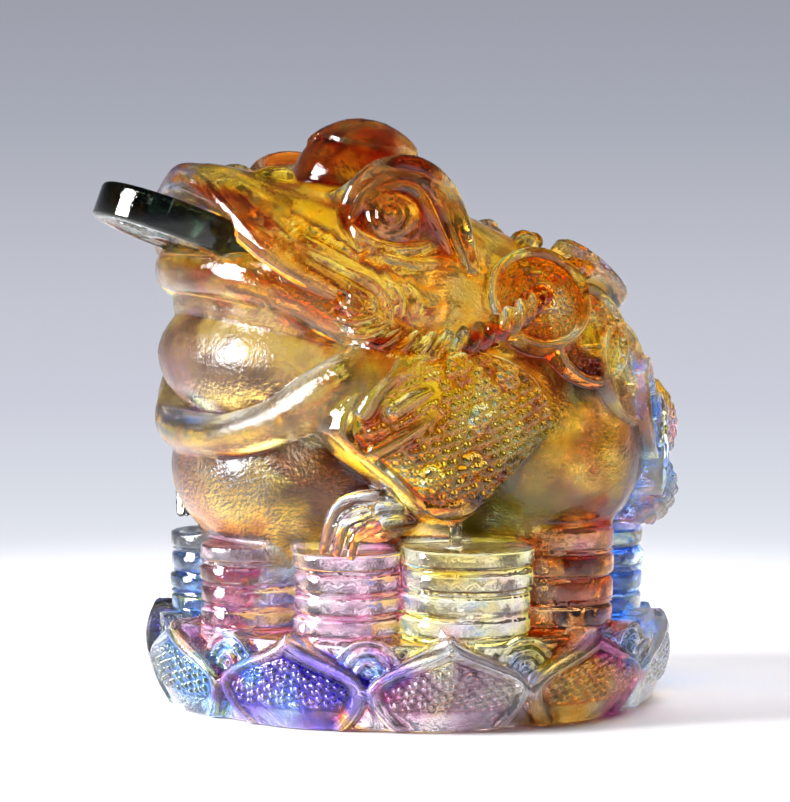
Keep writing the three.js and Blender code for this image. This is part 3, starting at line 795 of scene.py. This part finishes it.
def leg_pad(side):
    """A dome that falls by the cube of the outline's share, with a band and a channel round its front."""
    def distance(x, y, z):
        share = pad_outline(y, z)
        turn = np.arctan2(z - pad_centre[1], -(y - pad_centre[0]))
        front = eased(band_half_turn - np.abs(turn + band_turn), 0.0, 0.5)
        dome_height = pad_face - pad_fall * np.clip(share, 0, 1.1) ** 3
        channel = channel_sink * np.exp(-((share - channel_at) / channel_width) ** 2)
        ridge = band_rise * np.exp(-((share - band_at) / band_width) ** 2) - channel
        face = side * x - dome_height - front * ridge + pad_bend * (y - pad_centre[0]) ** 2
        rim = (share - pad_rim) * pad_rim_slope
        return -soft_least(-np.maximum(face, pad_back - side * x), -rim, pad_edge)

    low = np.array([24.0, -32.0, 32.0])
    high = np.array([42.0, 13.0, 64.0])
    if side < 0:
        low[0], high[0] = -high[0], -low[0]
    return low, high, distance


leg_folds = [
    [(36.2, -24.3, 51.8), (37.4, -21.5, 56), (37.6, -15.3, 60.1)],
    [(37.4, -19.5, 52.1), (38.0, -16.5, 54.0), (38.3, -13.4, 55.2)],
    [(36.6, -22.4, 45.8), (37.6, -18.5, 47.8), (38.4, -13.4, 50.8)],
]
warts = [(38, -8.9, 58.8), (37.8, -0.1, 56.8), (39.0, -5.6, 50.3), (37.6, -5.9, 42.8), (36.8, -13, 41.2)]
toes = [
    [(33, -15, 37.6), (34.6, -22, 38.2), (33.2, -27.6, 36.5), (31.0, -29.2, 29.5)],
    [(33.5, -15, 35.6), (35.4, -22, 36.0), (34.6, -26.8, 34.2), (33.4, -28, 29.3)],
    [(34, -15, 33.6), (36, -21, 33.8), (36, -25.4, 32.2), (35.4, -26.4, 29)],
]
for side in (1, -1):
    add(leg_pad(side), soft=0.7)
leg_folds = [seated(leg_fold, -0.2) for leg_fold in leg_folds]
warts = seated(warts, -0.2)
for side in (1, -1):
    for leg_fold in leg_folds:
        add(roll(on_side(side, leg_fold), (1.6, 1.2, 0.5), 8), soft=0.3)
    for place in warts:
        add(ball(on_side(side, [place])[0], (1.9, 2.1, 2.1)), soft=0.5)
    add(ball((side * 34, -10, 36), (4.6, 6.4, 3)), soft=0.6)
    add(ball((side * 29, -19, 34.5), (6, 6, 4.5)), soft=0.8)
    for toe in toes:
        add(roll(on_side(side, toe), (1.1, 1.25, 1.15, 0.9), 14), soft=0.35)
    add(roll([(side * 34.2, -7.3, 36), (side * 34.2, -7.3, 28)], (1.1, 1.0), 2), soft=0.6)

lay(honey, 5, (38, -8, 58), (38, -2, 52), (39, -12, 50), (38, -6, 44), (37, 2, 56))
lay(amber, 4, (38, -14, 52), (39, -4, 47), (38, -10, 40), (36, 5, 50), (37, -20, 50), (38, -1, 58))
lay(gold, 5, (38, -16, 57), (39, -9, 54), (38, 1, 48), (37, -12, 44), (38, -5, 56))
lay(deep_amber, 2.2, *warts)
lay(deep_amber, 2.5, (38, 4, 53), (38, -16, 47), (37, 0, 42), (37.5, -3, 61))
lay(pale_gold, 3, (34, -28, 52), (35, -25, 58), (34, -26, 45), (36, -22, 42))
lay(amber, 2.5, (33, -28, 55), (34, -28, 48), (36, -17, 39))
lay(brown, 3, (36, -6, 36), (36, 4, 44), (37, 5, 58))
lay(clear, 4, (34, -24, 37), (33, -28, 33), (34, -7.3, 30))
lay(pale_gold, 3, (34, -20, 37), (35, -25, 31))
lay(brown, 4, (34, -16, 33), (33, -10, 34), (34, -13, 30), satin=0.2)

# The string of coins: a twisted rope from each corner of the mouth to a shoulder, and coins that lap each
# other down the back to the tail, with one more coin on the rump. They are carved in the casting's wax.
rope_line = [(32, -24.5, 69), (33.5, -24.5, 66), (34.5, -19.5, 63), (35, -12, 61.8), (35, -4, 63),
             (34.5, 3.5, 66.3), (32.5, 9.5, 69.6)]
string_coins = [
    ((31, 9.5, 69), (0.9, -0.05, 0.42)),
    ((30.5, 18.5, 63), (0.85, 0.3, 0.3)),
    ((27.5, 27, 56), (0.7, 0.6, 0.2)),
    ((21.5, 35, 49.5), (0.5, 0.8, 0.1)),
    ((14, 40.5, 42.5), (0.35, 0.9, 0)),
]
string_coin_radius = 9.0
rump_coin_radius = 8.0
back_coin_rim = 1.3
back_coin_rise = 1.2
back_coin_sink = 0.9
back_coin_depth = 4.5
coins_laid = []


def back_coin(centre, facing, radius):
    """A disc with a raised rim, its face stepped down inside the rim. Its place is kept for the relief."""
    out = np.array(facing, dtype=float)
    out /= np.linalg.norm(out)
    coins_laid.append((np.array(centre, dtype=float), out, radius))

    def distance(x, y, z):
        dx, dy, dz = x - centre[0], y - centre[1], z - centre[2]
        height = dx * out[0] + dy * out[1] + dz * out[2]
        spread = np.sqrt(np.maximum(dx * dx + dy * dy + dz * dz - height * height, 0))
        field = np.clip((radius - back_coin_rim - spread) / 0.5 + 0.5, 0, 1)
        over = np.maximum(height - back_coin_rise + back_coin_sink * field, -back_coin_depth - height)
        return -soft_least(-over, -(spread - radius), 0.8)

    return np.array(centre) - radius, np.array(centre) + radius, distance


for side in (1, -1):
    for centre, facing in reversed(string_coins):
        middle, out = on_side(side, [centre, facing])
        add(back_coin(middle, out, string_coin_radius), soft=0.25)
    add(roll(on_side(side, rope_line), (1.8, 2.4, 2.5, 2.5, 2.5, 2.3, 1.4), 34), soft=0.25)
add(ball((0, 32, 68), (9, 6, 5)), soft=1.0)
add(back_coin((0, 35.0, 71.4), (0, 0.70, 0.71), rump_coin_radius), soft=0.3)
back_warts = [(7, 12.5, 78.4), (-7, 12, 78.9), (6, 19, 77.6), (-8, 20, 76.5), (0, 15, 79.4), (-1, 24, 77),
              (15, 15, 77.2), (-15, 15, 77.2), (17, 23, 73.4), (-17, 23, 73.4), (11, 28, 72.6),
              (-11, 28, 72.6)]
for place in back_warts:
    add(ball(place, (2.2, 2.2, 1.8)), soft=0.5)
    lay(bottle_green, 2.6, place, both=False)

lay(amber, 5, (32, 8, 70), (31, 13, 66), (33, 4, 72), (33, 9, 66))
lay(red_brown, 4, (33, 12, 59), (35, 7, 60), (34, 17, 57))
lay(deep_amber, 3, (34.5, -19.5, 63), (35, -12, 62), (35, -4, 63), (34.5, 3.5, 66))
lay(honey, 2.5, (33.5, -24, 67), (36, -16, 62), (36, 0, 64))
lay(gold, 5, (32, 20, 63), (31, 24, 60))
lay(pale_gold, 5, (29, 30, 58), (27, 24, 66))
lay(sky_blue, 5, (21, 37, 50), (24, 33, 56), (18, 41, 44))
lay(ice_blue, 6, (14, 43, 43), (20, 40, 48), (24, 38, 44))
lay(pink, 4, (0, 38, 75), (6, 34, 74), (0, 36, 72), (16, 40, 54))
lay(honey, 4, (3, 37, 70), (6, 35, 69))
lay(bottle_green, 3, (19, 6, 80), (15, 12, 80), (12, 16, 82))
lay(champagne, 5, (5, 38, 73), (0, 40, 70), (8, 35, 70))
lay(pink, 3, (7, 36, 73), (3, 39, 67))
lay(pale_gold, 3, (30, 19, 63), (27, 27, 57), (31, 12, 66))
lay(ice_blue, 4, (23, 35, 53), (18, 39, 47), (26, 31, 50))

# The third leg: two rounded masses of the casting under the tail, which are the leg folded up. Its outside
# is beaded like the front legs, and it rests on the stacks at the back.
tail_balls = [
    (np.array([0, 38, 34.5]), np.array([15, 11.5, 8.5])),
    (np.array([0, 43, 45]), np.array([12, 6.0, 9.0])),
]
for centre, radii in tail_balls:
    add(ball(centre, radii), soft=1.0)

lay(ice_blue, 6, (10, 47, 40), (0, 48, 32), (14, 42, 34))
lay(pink, 4, (4, 49, 36), (12, 40, 30), (8, 48, 46))
lay(lilac, 5, (0, 50, 42), (6, 46, 30))

# The open mouth: a lens-shaped opening in the casting between the lips, and in it the room for the coin
# that is made on its own and set in afterwards.
coin_radius = 13.75
coin_thickness = 6.0
coin_centre = np.array([0.0, -42.2, 80.6])
mouth_pitch = -21.7
mouth_middle = (0, -42.2, 81.3)
mouth_radii = (coin_radius + 5.2, coin_radius, coin_thickness / 2 + 1.6)
coin_pitch = math.radians(mouth_pitch)
coin_fit = 0.35


def coin_room():
    """A disc at the coin's place and pitch, larger by the fit all round."""
    def distance(x, y, z):
        dy, dz = y - coin_centre[1], z - coin_centre[2]
        along = dy * math.cos(coin_pitch) + dz * math.sin(coin_pitch)
        over = dz * math.cos(coin_pitch) - dy * math.sin(coin_pitch)
        outside = np.hypot(x, along) - coin_radius - coin_fit
        return np.maximum(outside, np.abs(over) - coin_thickness / 2 - coin_fit)

    return coin_centre - 16, coin_centre + 16, distance


cut(ball(mouth_middle, mouth_radii, mouth_pitch), soft=0.8)
cut(coin_room(), soft=0.2)

# The skin of the casting: glass that is smooth and rounded over, with finely beaded and stippled fields. The
# mesh is closed and even, thinned where it is smooth and split where relief is carved.
smooth_triangles = 66000
longest_edges = (1.8, 0.9, 0.485)
relaxing_rounds = 2
wax = np.maximum(wax, -axes[2])


def slope(function, places, reach):
    """A function's slope along x, y and z, from its values a reach to each side."""
    sides = [function(places + reach * axis) - function(places - reach * axis) for axis in np.eye(3)]
    return np.stack(sides, axis=1) / (2 * reach)


def unit_rows(rows):
    """Each row over its own length."""
    return rows / np.maximum(np.linalg.norm(rows, axis=1, keepdims=True), 1e-9)


def onto_wax(places):
    """Places moved along the slope until their distance is nought, in two steps."""
    for _ in range(2):
        lie = slope(wax_at, places, 0.5 * step)
        places = places - lie * (wax_at(places) / np.maximum((lie * lie).sum(axis=1), 0.1))[:, None]
    return places


def edges_of(faces):
    """The triangles' edges, each once, as pairs of point numbers, and which three each triangle has."""
    pairs = np.sort(faces[:, [[0, 1], [1, 2], [2, 0]]], axis=2).astype(np.int64)
    most = faces.max() + 1
    keys, place = np.unique(pairs[..., 0] * most + pairs[..., 1], return_inverse=True)
    return np.stack([keys // most, keys % most], axis=1), place.reshape(-1, 3)


def split_long(points, faces, chosen, longest):
    """Halves each edge over the longest in a chosen place, and its triangles with it into 2, 3 or 4."""
    ends, place = edges_of(faces)
    middle = points[ends].mean(axis=1)
    length = np.linalg.norm(points[ends[:, 0]] - points[ends[:, 1]], axis=1)
    split = (length > longest) & chosen(middle)
    number = np.full(len(ends), -1)
    number[split] = len(points) + np.arange(split.sum())
    mids = number[place]
    count = (mids >= 0).sum(axis=1)
    turn = np.where(count == 1, np.argmax(mids >= 0, axis=1), (np.argmax(mids < 0, axis=1) + 1) % 3)
    order = (turn[:, None] + np.arange(3)) % 3
    a, b, c = np.take_along_axis(faces, order, axis=1).T
    m, n, o = np.take_along_axis(mids, order, axis=1).T
    parts = [faces[count == 0]]
    cuts = [
        (1, [(a, m, c), (m, b, c)]),
        (2, [(m, b, n), (a, m, n), (a, n, c)]),
        (3, [(a, m, o), (m, b, n), (o, n, c), (m, n, o)]),
    ]
    for which, triangles in cuts:
        parts += [np.stack(triangle, axis=1)[count == which] for triangle in triangles]
    return np.concatenate([points, middle[split]]), np.concatenate(parts)


def relaxed(points, faces, chosen, rounds):
    """Moves each chosen point to the mean of its neighbours, a few times over, and back onto the wax."""
    ends, _ = edges_of(faces)
    pick = chosen(points)
    for _ in range(rounds):
        total = np.zeros_like(points)
        for axis in range(3):
            total[:, axis] = np.bincount(ends[:, 0], points[ends[:, 1], axis], len(points))
            total[:, axis] += np.bincount(ends[:, 1], points[ends[:, 0], axis], len(points))
        around = np.bincount(ends.ravel(), minlength=len(points))
        mean = total / around[:, None]
        points = np.where(pick[:, None], 0.4 * points + 0.6 * mean, points)
        points[pick] = onto_wax(points[pick])
    return points


def thinned(points, faces, share):
    """The mesh with the given share of its triangles, collapsed where that changes its shape least."""
    mesh = bpy.data.meshes.new("rough")
    mesh.from_pydata(points.tolist(), [], faces.tolist())
    rough = placed("rough", mesh)
    fewer = rough.modifiers.new("fewer", "DECIMATE")
    fewer.ratio = share
    fewer.use_collapse_triangulate = True
    done = rough.evaluated_get(bpy.context.evaluated_depsgraph_get()).to_mesh()
    made = np.empty(len(done.vertices) * 3, dtype=np.float32)
    done.vertices.foreach_get("co", made)
    corners = np.empty(len(done.loops), dtype=np.int32)
    done.loops.foreach_get("vertex_index", corners)
    bpy.data.objects.remove(rough)
    return made.reshape(-1, 3).astype(float), corners.reshape(-1, 3)


# The carved relief of the casting: stippled petal fields, beads on the front legs and the folded one, the
# strands of the rope, and the frames, strokes and dots of the coins. Each is a height over the smooth skin,
# worked out in the flat coordinates of its own field, with whether a place is in that field.
petal_field = 2.9
petal_dot_height, petal_dot_radius, petal_dot_pitch = 0.45, 0.64, 1.34
bead_height, bead_radius, bead_pitch, bead_wander = 0.6, 0.98, 2.05, 0.16
tail_bead_height, tail_bead_radius, tail_bead_pitch = 0.7, 1.2, 2.5
tail_bent = 13.0
fold_strip = 1.5
rope_lay = 9.0
rope_strands = 3
rope_reach = 3.2
coin_field_rim = 1.9
coin_dot_height, coin_dot_radius, coin_dot_pitch = 0.25, 0.5, 1.1
coin_frame, coin_frame_height = 2.3, 0.4
coin_hole_half, coin_hole_sink = 1.9, 0.3
stroke_at, stroke_half, stroke_height = 4.3, 1.3, 0.35
line_width = 0.35
wavy_above = 29.0
long_wave_height, short_wave_height = 0.07, 0.03


def nearest_dot(across, up, pitch, wander=0.2, turn=0.3):
    """How far a place is from the nearest of the dots, which lie in turned triangles and wander a little."""
    u = across * math.cos(turn) + up * math.sin(turn)
    v = up * math.cos(turn) - across * math.sin(turn)
    best = np.full(np.shape(u), np.inf)
    for shift in (0.0, 0.5):
        for aside in (-1, 0, 1):
            column = np.round(u / pitch - shift) + aside
            row = np.round(v / (1.732 * pitch) - shift)
            seed = 12.9898 * column + 78.233 * row + 37.7 * shift
            du = u - (column + shift + wander * np.sin(3.1 * seed)) * pitch
            dv = v - (1.732 * (row + shift) + wander * np.cos(5.3 * seed)) * pitch
            best = np.minimum(best, np.hypot(du, dv))
    return best


def dome(gap, radius):
    """A round swelling: one less the square of the gap over the radius, and nought outside."""
    return np.clip(1 - (gap / radius) ** 2, 0, 1)


def petal_relief(p):
    """Small dots over each petal's sunk field, whose edge runs evenly inside the petal's outline."""
    radius = np.hypot(p[:, 0], p[:, 1])
    off = np.arctan2(p[:, 1], p[:, 0]) - petal_turn
    pitch = 2 * math.pi / petal_count
    off = off - pitch * np.round(off / pitch)
    share = p[:, 2] / petal_height
    half = petal_width / 2 * petal_shape(share)
    little = 0.01
    widening = petal_shape(share + little) - petal_shape(share - little)
    lean = petal_width / 2 * widening / (2 * little * petal_height)
    aside = off * petal_reach(share)
    inside = (half - np.abs(aside)) / np.sqrt(1 + lean * lean)
    inside = np.minimum(inside, np.minimum(p[:, 2] * 0.8, petal_height - p[:, 2]))
    inside = np.where(radius > foot_radius - 2.5, inside, -1)
    field = eased(inside, petal_field, petal_field + 0.5)
    dots = dome(nearest_dot(aside, p[:, 2], petal_dot_pitch), petal_dot_radius)
    return petal_dot_height * field * dots, inside > petal_field - 0.3


def leg_relief(p):
    """Beads over each front leg's pad, apart from the band at its front and a strip along each fold."""
    y, z = p[:, 1], p[:, 2]
    share = pad_outline(y, z)
    turn = np.arctan2(z - pad_centre[1], -(y - pad_centre[0]))
    edge = np.where(np.abs(turn + 0.25) < 1.75, 0.84, 1.0)
    inside = np.where(np.abs(p[:, 0]) > 32.5, (edge - share) * 12, -1)
    for fold in leg_folds:
        line = spline(fold, 8)[:, 1:]
        gap = np.linalg.norm(p[:, None, 1:] - line[None], axis=2).min(axis=1)
        inside = np.minimum(inside, gap - fold_strip)
    field = eased(inside, 0.0, 0.5)
    beads = dome(nearest_dot(y, z, bead_pitch, bead_wander), bead_radius)
    return bead_height * field * beads, inside > -0.2


def rope_relief(p):
    """Ridges that wind round the rope's line, from the angle about it less a turn for each lay of rope."""
    line = spline(rope_line, 80)
    height = np.zeros(len(p))
    mirrored = np.array(p)
    mirrored[:, 0] = np.abs(mirrored[:, 0])
    low, high = line.min(axis=0) - rope_reach, line.max(axis=0) + rope_reach
    close = ((mirrored > low) & (mirrored < high)).all(axis=1)
    run = np.gradient(line, axis=0)
    along = np.concatenate([[0], np.cumsum(np.linalg.norm(np.diff(line, axis=0), axis=1))])
    run /= np.linalg.norm(run, axis=1)[:, None]
    off = mirrored[close][:, None, :] - line[None]
    gaps = np.linalg.norm(off, axis=2)
    best = np.argmin(gaps, axis=1)
    gap = gaps[np.arange(len(best)), best]
    off = off[np.arange(len(best)), best]
    run = run[best]
    s = along[best] + (off * run).sum(axis=1)
    side = unit_rows(np.cross(run, [0.0, 0.0, 1.0]))
    up = np.cross(side, run)
    angle = np.arctan2((off * up).sum(axis=1), (off * side).sum(axis=1))
    lobes = np.abs(np.cos(rope_strands / 2 * (angle - 2 * math.pi * s / rope_lay)))
    body = eased(rope_reach - gap, 0.0, 0.4)
    height[close] = body * (lobes - 0.8)
    inside = np.zeros(len(p), dtype=bool)
    inside[close] = gap < rope_reach - 0.1
    return height, inside


def coin_relief(p):
    """Small dots over each coin's field, a square frame round its middle, and short strokes round that."""
    height = np.zeros(len(p))
    carved = np.zeros(len(p), dtype=bool)
    for centre, out, radius in coins_laid:
        side = unit_rows(np.cross(out, [0.0, 0.0, 1.0])[None])[0]
        up = np.cross(side, out)
        off = p - centre
        rise = off @ out
        u, v = off @ side, off @ up
        spread = np.sqrt(u * u + v * v)
        inside = np.where(np.abs(rise) < 1.1, radius - coin_field_rim - spread, -1)
        square = np.maximum(np.abs(u), np.abs(v))
        field = eased(inside, 0.0, 0.4)
        frame_line = np.exp(-((square - coin_frame) / line_width) ** 2)
        level_stroke = np.maximum(np.abs(u) - stroke_half, np.abs(np.abs(v) - stroke_at) - 0.1)
        upright_stroke = np.maximum(np.abs(v) - stroke_half, np.abs(np.abs(u) - stroke_at) - 0.1)
        stroke = np.minimum(level_stroke, upright_stroke)
        marks = np.exp(-(np.maximum(stroke, 0) / line_width) ** 2)
        dots = coin_dot_height * dome(nearest_dot(u, v, coin_dot_pitch), coin_dot_radius)
        dots = dots * eased(square, 2.8, 3.2) * (1 - marks)
        dots = np.where(square < coin_hole_half, -coin_hole_sink, dots)
        lines = dots + coin_frame_height * frame_line + stroke_height * marks
        height = np.where(inside > 0, field * lines, height)
        carved |= inside > -0.2
    return height, carved


def tail_relief(p):
    """Larger beads over the leg that is folded up under the tail."""
    height = np.zeros(len(p))
    carved = np.zeros(len(p), dtype=bool)
    for centre, radii in tail_balls:
        off = (p - centre) / radii
        near_it = np.abs(np.linalg.norm(off, axis=1) - 1) < 0.12
        facing = (p[:, 1] > 40) & (p[:, 2] > 28.5)
        angle = np.arctan2(off[:, 0], off[:, 1])
        beads = dome(nearest_dot(angle * tail_bent, p[:, 2], tail_bead_pitch), tail_bead_radius)
        height = np.where(near_it & facing, tail_bead_height * beads, height)
        carved |= near_it & facing
    return height, carved


reliefs = [petal_relief, leg_relief, rope_relief, coin_relief, tail_relief]


def waviness(p):
    """The slight waves that a mould leaves in the skin: sines of two sizes, each bent by the other axes."""
    x, y, z = p.T
    long_wave = np.sin(0.9 * x + 1.3 * np.sin(0.5 * z)) * np.sin(0.8 * y + 1.1 * np.sin(0.6 * x))
    short_wave = np.sin(1.9 * z + 1.7 * np.sin(0.8 * y)) * np.sin(1.6 * y + 1.2 * np.sin(1.1 * x))
    return long_wave_height * long_wave + short_wave_height * short_wave


def carving(p):
    """The height over the smooth skin: the sum of the reliefs, and over the stacks the waves too."""
    return np.sum([relief(p)[0] for relief in reliefs], axis=0) + waviness(p) * (p[:, 2] > wavy_above)


def carved(p):
    """Whether a place is in any relief's field."""
    return np.any([relief(p)[1] for relief in reliefs], axis=0)


grid = openvdb.FloatGrid(no_wax)
grid.copyFromArray(wax)
points, quads = grid.convertToQuads(0.0)
faces = np.concatenate([quads[:, [0, 1, 2]], quads[:, [0, 2, 3]]]).astype(np.int64)
points, faces = thinned(points * step + lowest, faces, smooth_triangles / len(faces))
points = onto_wax(points)
for longest in longest_edges:
    points, faces = split_long(points, faces, carved, longest)
    points = relaxed(points, faces, carved, relaxing_rounds)

level = unit_rows(slope(wax_at, points, 0.6 * step))
heights = carving(points)
lean = slope(carving, points, 0.06)
lean -= level * (lean * level).sum(axis=1, keepdims=True)
normals = unit_rows(level - lean)
flat_foot = points[:, 2] < 0.02
normals[flat_foot] = (0.0, 0.0, -1.0)
shown = points + level * heights[:, None]

skin = bpy.data.meshes.new("toad_glass")
skin.from_pydata((shown / 1000).tolist(), [], faces.tolist())
skin.polygons.foreach_set("use_smooth", np.ones(len(faces), dtype=bool))

# The colours of the casting: grains of coloured glass melt in the mould and run into each other. Each colour
# is raised to a power. The power is higher in hollows and between the dots, beads and strands of the relief,
# which is painted shade. It is lower on rounded edges and on the tops of the relief, which is painted
# highlight. It is lower where the glass is satin too.
grain_fall = 4.0
far_pull = 1e-7
hollow_reach = 1.1
plain_depth = 1.3
hollow_gain, least_hollow, most_hollow = 4.6, -0.4, 1.8
# How much painted shade deepens the petal fields and the other relief, and how much painted highlight pales
# their raised tops:
petal_gain, petal_dot_painted_highlight = 1.3, 3.2
bead_gain, bead_painted_highlight = 0.4, 1.0
petals_below = 17.0
satin_pales = 0.2
least_depth, most_depth = 0.3, 3.0


def streaked(p):
    """Places shifted by three sizes of sine along each axis, so that the colours' borders run unevenly."""
    wander = 1.9 * np.sin(0.42 * p[:, [1, 2, 0]] + (0.3, 1.7, 4.1))
    wander += 1.0 * np.sin(1.05 * p[:, [2, 0, 1]] + (2.2, 0.4, 3.3) + 0.6 * wander)
    wander += 0.45 * np.sin(2.6 * p[:, [1, 2, 0]] + (5.1, 2.9, 1.2) + 0.9 * wander)
    return p + wander


melted = streaked(points)
share = np.zeros((len(points), 4))
total = np.zeros(len(points))
for x, y, z, reach, red, green, blue, satin in np.array(grains_laid, dtype=float):
    gap = ((melted - (x, y, z)) ** 2).sum(axis=1) / reach ** 2
    weight = np.exp(-grain_fall * gap) + far_pull / (1 + gap) ** 4
    share += weight[:, None] * (red, green, blue, satin)
    total += weight
share /= total[:, None]
# Painted shade and painted highlight: each colour's power rises in hollows and falls on rounded edges, by
# how far the wax bulges round the point.
beside = [sign * hollow_reach * axis for axis in np.eye(3) for sign in (-1, 1)]
bulge = np.mean([wax_at(points + shift) for shift in beside], axis=0)
colour_power_with_painted_light = plain_depth + np.clip(-hollow_gain * bulge, least_hollow, most_hollow)
# Painted highlight and painted shade over the relief: the power is raised over each carved field and lowered
# by the height of its dots, beads, strands and marks. So their tops are paler and the ground between them
# darker.
relief_painted_light = np.where(points[:, 2] < petals_below, petal_gain - petal_dot_painted_highlight * heights,
                     bead_gain - bead_painted_highlight * heights)
colour_power_with_painted_light += np.where(carved(points), relief_painted_light, 0)
colour_power_with_painted_light *= 1 - satin_pales * share[:, 3]
share[:, :3] **= np.clip(colour_power_with_painted_light, least_depth, most_depth)[:, None]
glass_colour_and_painted_light = skin.attributes.new("glass_colour_and_painted_light", "FLOAT_COLOR", "POINT")
glass_colour_and_painted_light.data.foreach_set("color", share.astype(np.float32).ravel())
skin.normals_split_custom_set_from_vertices(normals.tolist())

toad_glass = placed("toad_glass", skin)
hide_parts("toad_casting")
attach(toad_glass, "root")


def noise(tree, scale, detail):
    """Smooth noise over the object's own coordinates, with as many cells to a metre as the scale."""
    made = node(tree, "ShaderNodeTexNoise")
    made.inputs["Scale"].default_value = scale
    made.inputs["Detail"].default_value = detail
    wire(tree, node(tree, "ShaderNodeTexCoord").outputs["Object"], made.inputs["Vector"])
    return made.outputs["Fac"]


def cast_glass(name, tint_and_painted_light, clouds, power, ripple):
    """Solid glass in the colours of a mesh's attribute, which carries painted light as well as colour, each
    to a power that slow clouds give, with fine ripples as its bump. Clouds and ripple are a noise's scale
    and detail. The power runs from its third value to its fourth while the clouds run from its first to its
    second."""
    made = bpy.data.materials.new(name)
    made.use_nodes = True
    tree = made.node_tree
    shader = tree.nodes["Principled BSDF"]
    for socket, amount in (("Transmission Weight", 1.0), ("IOR", 1.5), ("Coat Roughness", 0.02)):
        shader.inputs[socket].default_value = amount
    colours = node(tree, "ShaderNodeAttribute", attribute_name=tint_and_painted_light)
    thick = node(tree, "ShaderNodeGamma")
    wire(tree, colours.outputs["Color"], thick.inputs["Color"])
    wire(tree, ranged(tree, noise(tree, *clouds), *power), thick.inputs["Gamma"])
    wire(tree, thick.outputs["Color"], shader.inputs["Base Color"])
    bump = node(tree, "ShaderNodeBump")
    bump.inputs["Distance"].default_value = 0.0003
    wire(tree, noise(tree, *ripple), bump.inputs["Height"])
    wire(tree, bump.outputs["Normal"], shader.inputs["Normal"])
    return made, shader, colours, bump


coloured_glass, shader, colours, bump = cast_glass(
    "coloured_glass_look", "glass_colour_and_painted_light", clouds=(130.0, 3.0), power=(0.34, 0.66, 0.5, 1.5), ripple=(1500.0, 4.0))
tree = coloured_glass.node_tree
satin = colours.outputs["Alpha"]
wire(tree, ranged(tree, satin, 0.0, 0.9, 0.03, 0.27), shader.inputs["Roughness"])
wire(tree, ranged(tree, satin, 0.0, 0.8, 0.2, 0.08), shader.inputs["Coat Weight"])
wire(tree, ranged(tree, satin, 0.0, 0.9, 0.18, 0.75), bump.inputs["Strength"])
skin.materials.append(coloured_glass)

# The coin in the mouth: a thick disc of clear glass with a square hole, cast on its own and set between the
# lips. Its faces have a raised rim and frame with worn strokes between them. Its edge is painted nearly
# black, a painted shade for the darkness that its clear edge refracts.
coin_hole = 5.0
coin_edge = 0.9
coin_rim = 1.9
coin_frame_width = 1.1
coin_sink = 0.55
mark_at, mark_reach, mark_half = 7.4, 2.4, 1.9
coin_columns = 240
coin_rows = 34
coin_body_colour = (0.90, 0.93, 0.92, 0.0)
# The edge's near black is painted shade on clear glass.
coin_edge_painted_dark = (0.010, 0.022, 0.014, 0.0)


def coin_face(radius, angle):
    """How deep a face lies below the rim: sunk between the rim and the frame, with strokes left high."""
    u, v = radius * np.cos(angle), radius * np.sin(angle)
    square = np.maximum(np.abs(u), np.abs(v))
    field = eased(coin_radius - coin_rim - radius, 0.0, 0.5)
    field = field * eased(square - coin_hole / 2 - coin_frame_width, 0.0, 0.5)
    arms = np.minimum(np.abs(u), np.abs(v))
    marks = eased(mark_half - arms, 0.0, 0.4) * eased(mark_reach - np.abs(square - mark_at), 0.0, 0.4)
    marks *= eased(np.abs(np.sin(2.4 * square + 0.8 * arms)), 0.35, 0.8)
    return coin_sink * field * (1 - marks)


angle = np.linspace(0, 2 * math.pi, coin_columns, endpoint=False)
inner = coin_hole / 2 / np.maximum(np.abs(np.cos(angle)), np.abs(np.sin(angle)))
rounding = np.linspace(math.pi / 2, -math.pi / 2, 9)[1:-1]
rings = []
for out in np.linspace(0, 1, coin_rows):
    radius = inner + (coin_radius - coin_edge - inner) * out
    rings.append((radius, coin_thickness / 2 - coin_face(radius, angle)))
for bend in rounding:
    radius = coin_radius - coin_edge + coin_edge * math.cos(bend)
    over = math.copysign(coin_thickness / 2 - coin_edge, bend) + coin_edge * math.sin(bend)
    rings.append((radius + 0 * angle, over + 0 * angle))
rings += [(radius, -over) for radius, over in rings[coin_rows - 1::-1]]
radius = np.array([ring[0] for ring in rings])
over = np.array([ring[1] for ring in rings])
flat_x, along = radius * np.cos(angle), radius * np.sin(angle)
tipped_y = along * math.cos(coin_pitch) - over * math.sin(coin_pitch)
tipped_z = along * math.sin(coin_pitch) + over * math.cos(coin_pitch)
coin_points = (coin_centre + np.stack([flat_x, tipped_y, tipped_z], axis=2)).reshape(-1, 3)
row = np.arange(len(rings))[:, None]
column = np.arange(coin_columns)[None, :]
next_row, next_column = (row + 1) % len(rings), (column + 1) % coin_columns
corners = [row * coin_columns + column, next_row * coin_columns + column,
           next_row * coin_columns + next_column, row * coin_columns + next_column]
coin_faces = np.stack(corners, axis=2).reshape(-1, 4)
coin_mesh = bpy.data.meshes.new("mouth_coin_glass")
coin_mesh.from_pydata((coin_points / 1000).tolist(), [], coin_faces.tolist())
coin_mesh.polygons.foreach_set("use_smooth", np.ones(len(coin_faces), dtype=bool))
# Painted shade: the coin's rounded edge is coloured nearly black, where clear glass would only refract dark
# surroundings.
on_edge = eased(radius, coin_radius - 1.6, coin_radius - 0.6)[..., None]
tint = np.array(coin_body_colour) * (1 - on_edge) + np.array(coin_edge_painted_dark) * on_edge
tint_and_painted_light = coin_mesh.attributes.new("tint_and_painted_light", "FLOAT_COLOR", "POINT")
tint_and_painted_light.data.foreach_set("color", tint.astype(np.float32).ravel())
mouth_glass = placed("mouth_coin_glass", coin_mesh)
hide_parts("mouth_coin")
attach(mouth_glass, "root")

clear_glass, shader, _, bump = cast_glass(
    "clear_glass_look", "tint_and_painted_light", clouds=(120.0, 4.0), power=(0.35, 0.65, 0.6, 1.3), ripple=(900.0, 3.0))
shader.inputs["Roughness"].default_value = 0.03
shader.inputs["Coat Weight"].default_value = 0.2
bump.inputs["Strength"].default_value = 0.15
coin_mesh.materials.append(clear_glass)
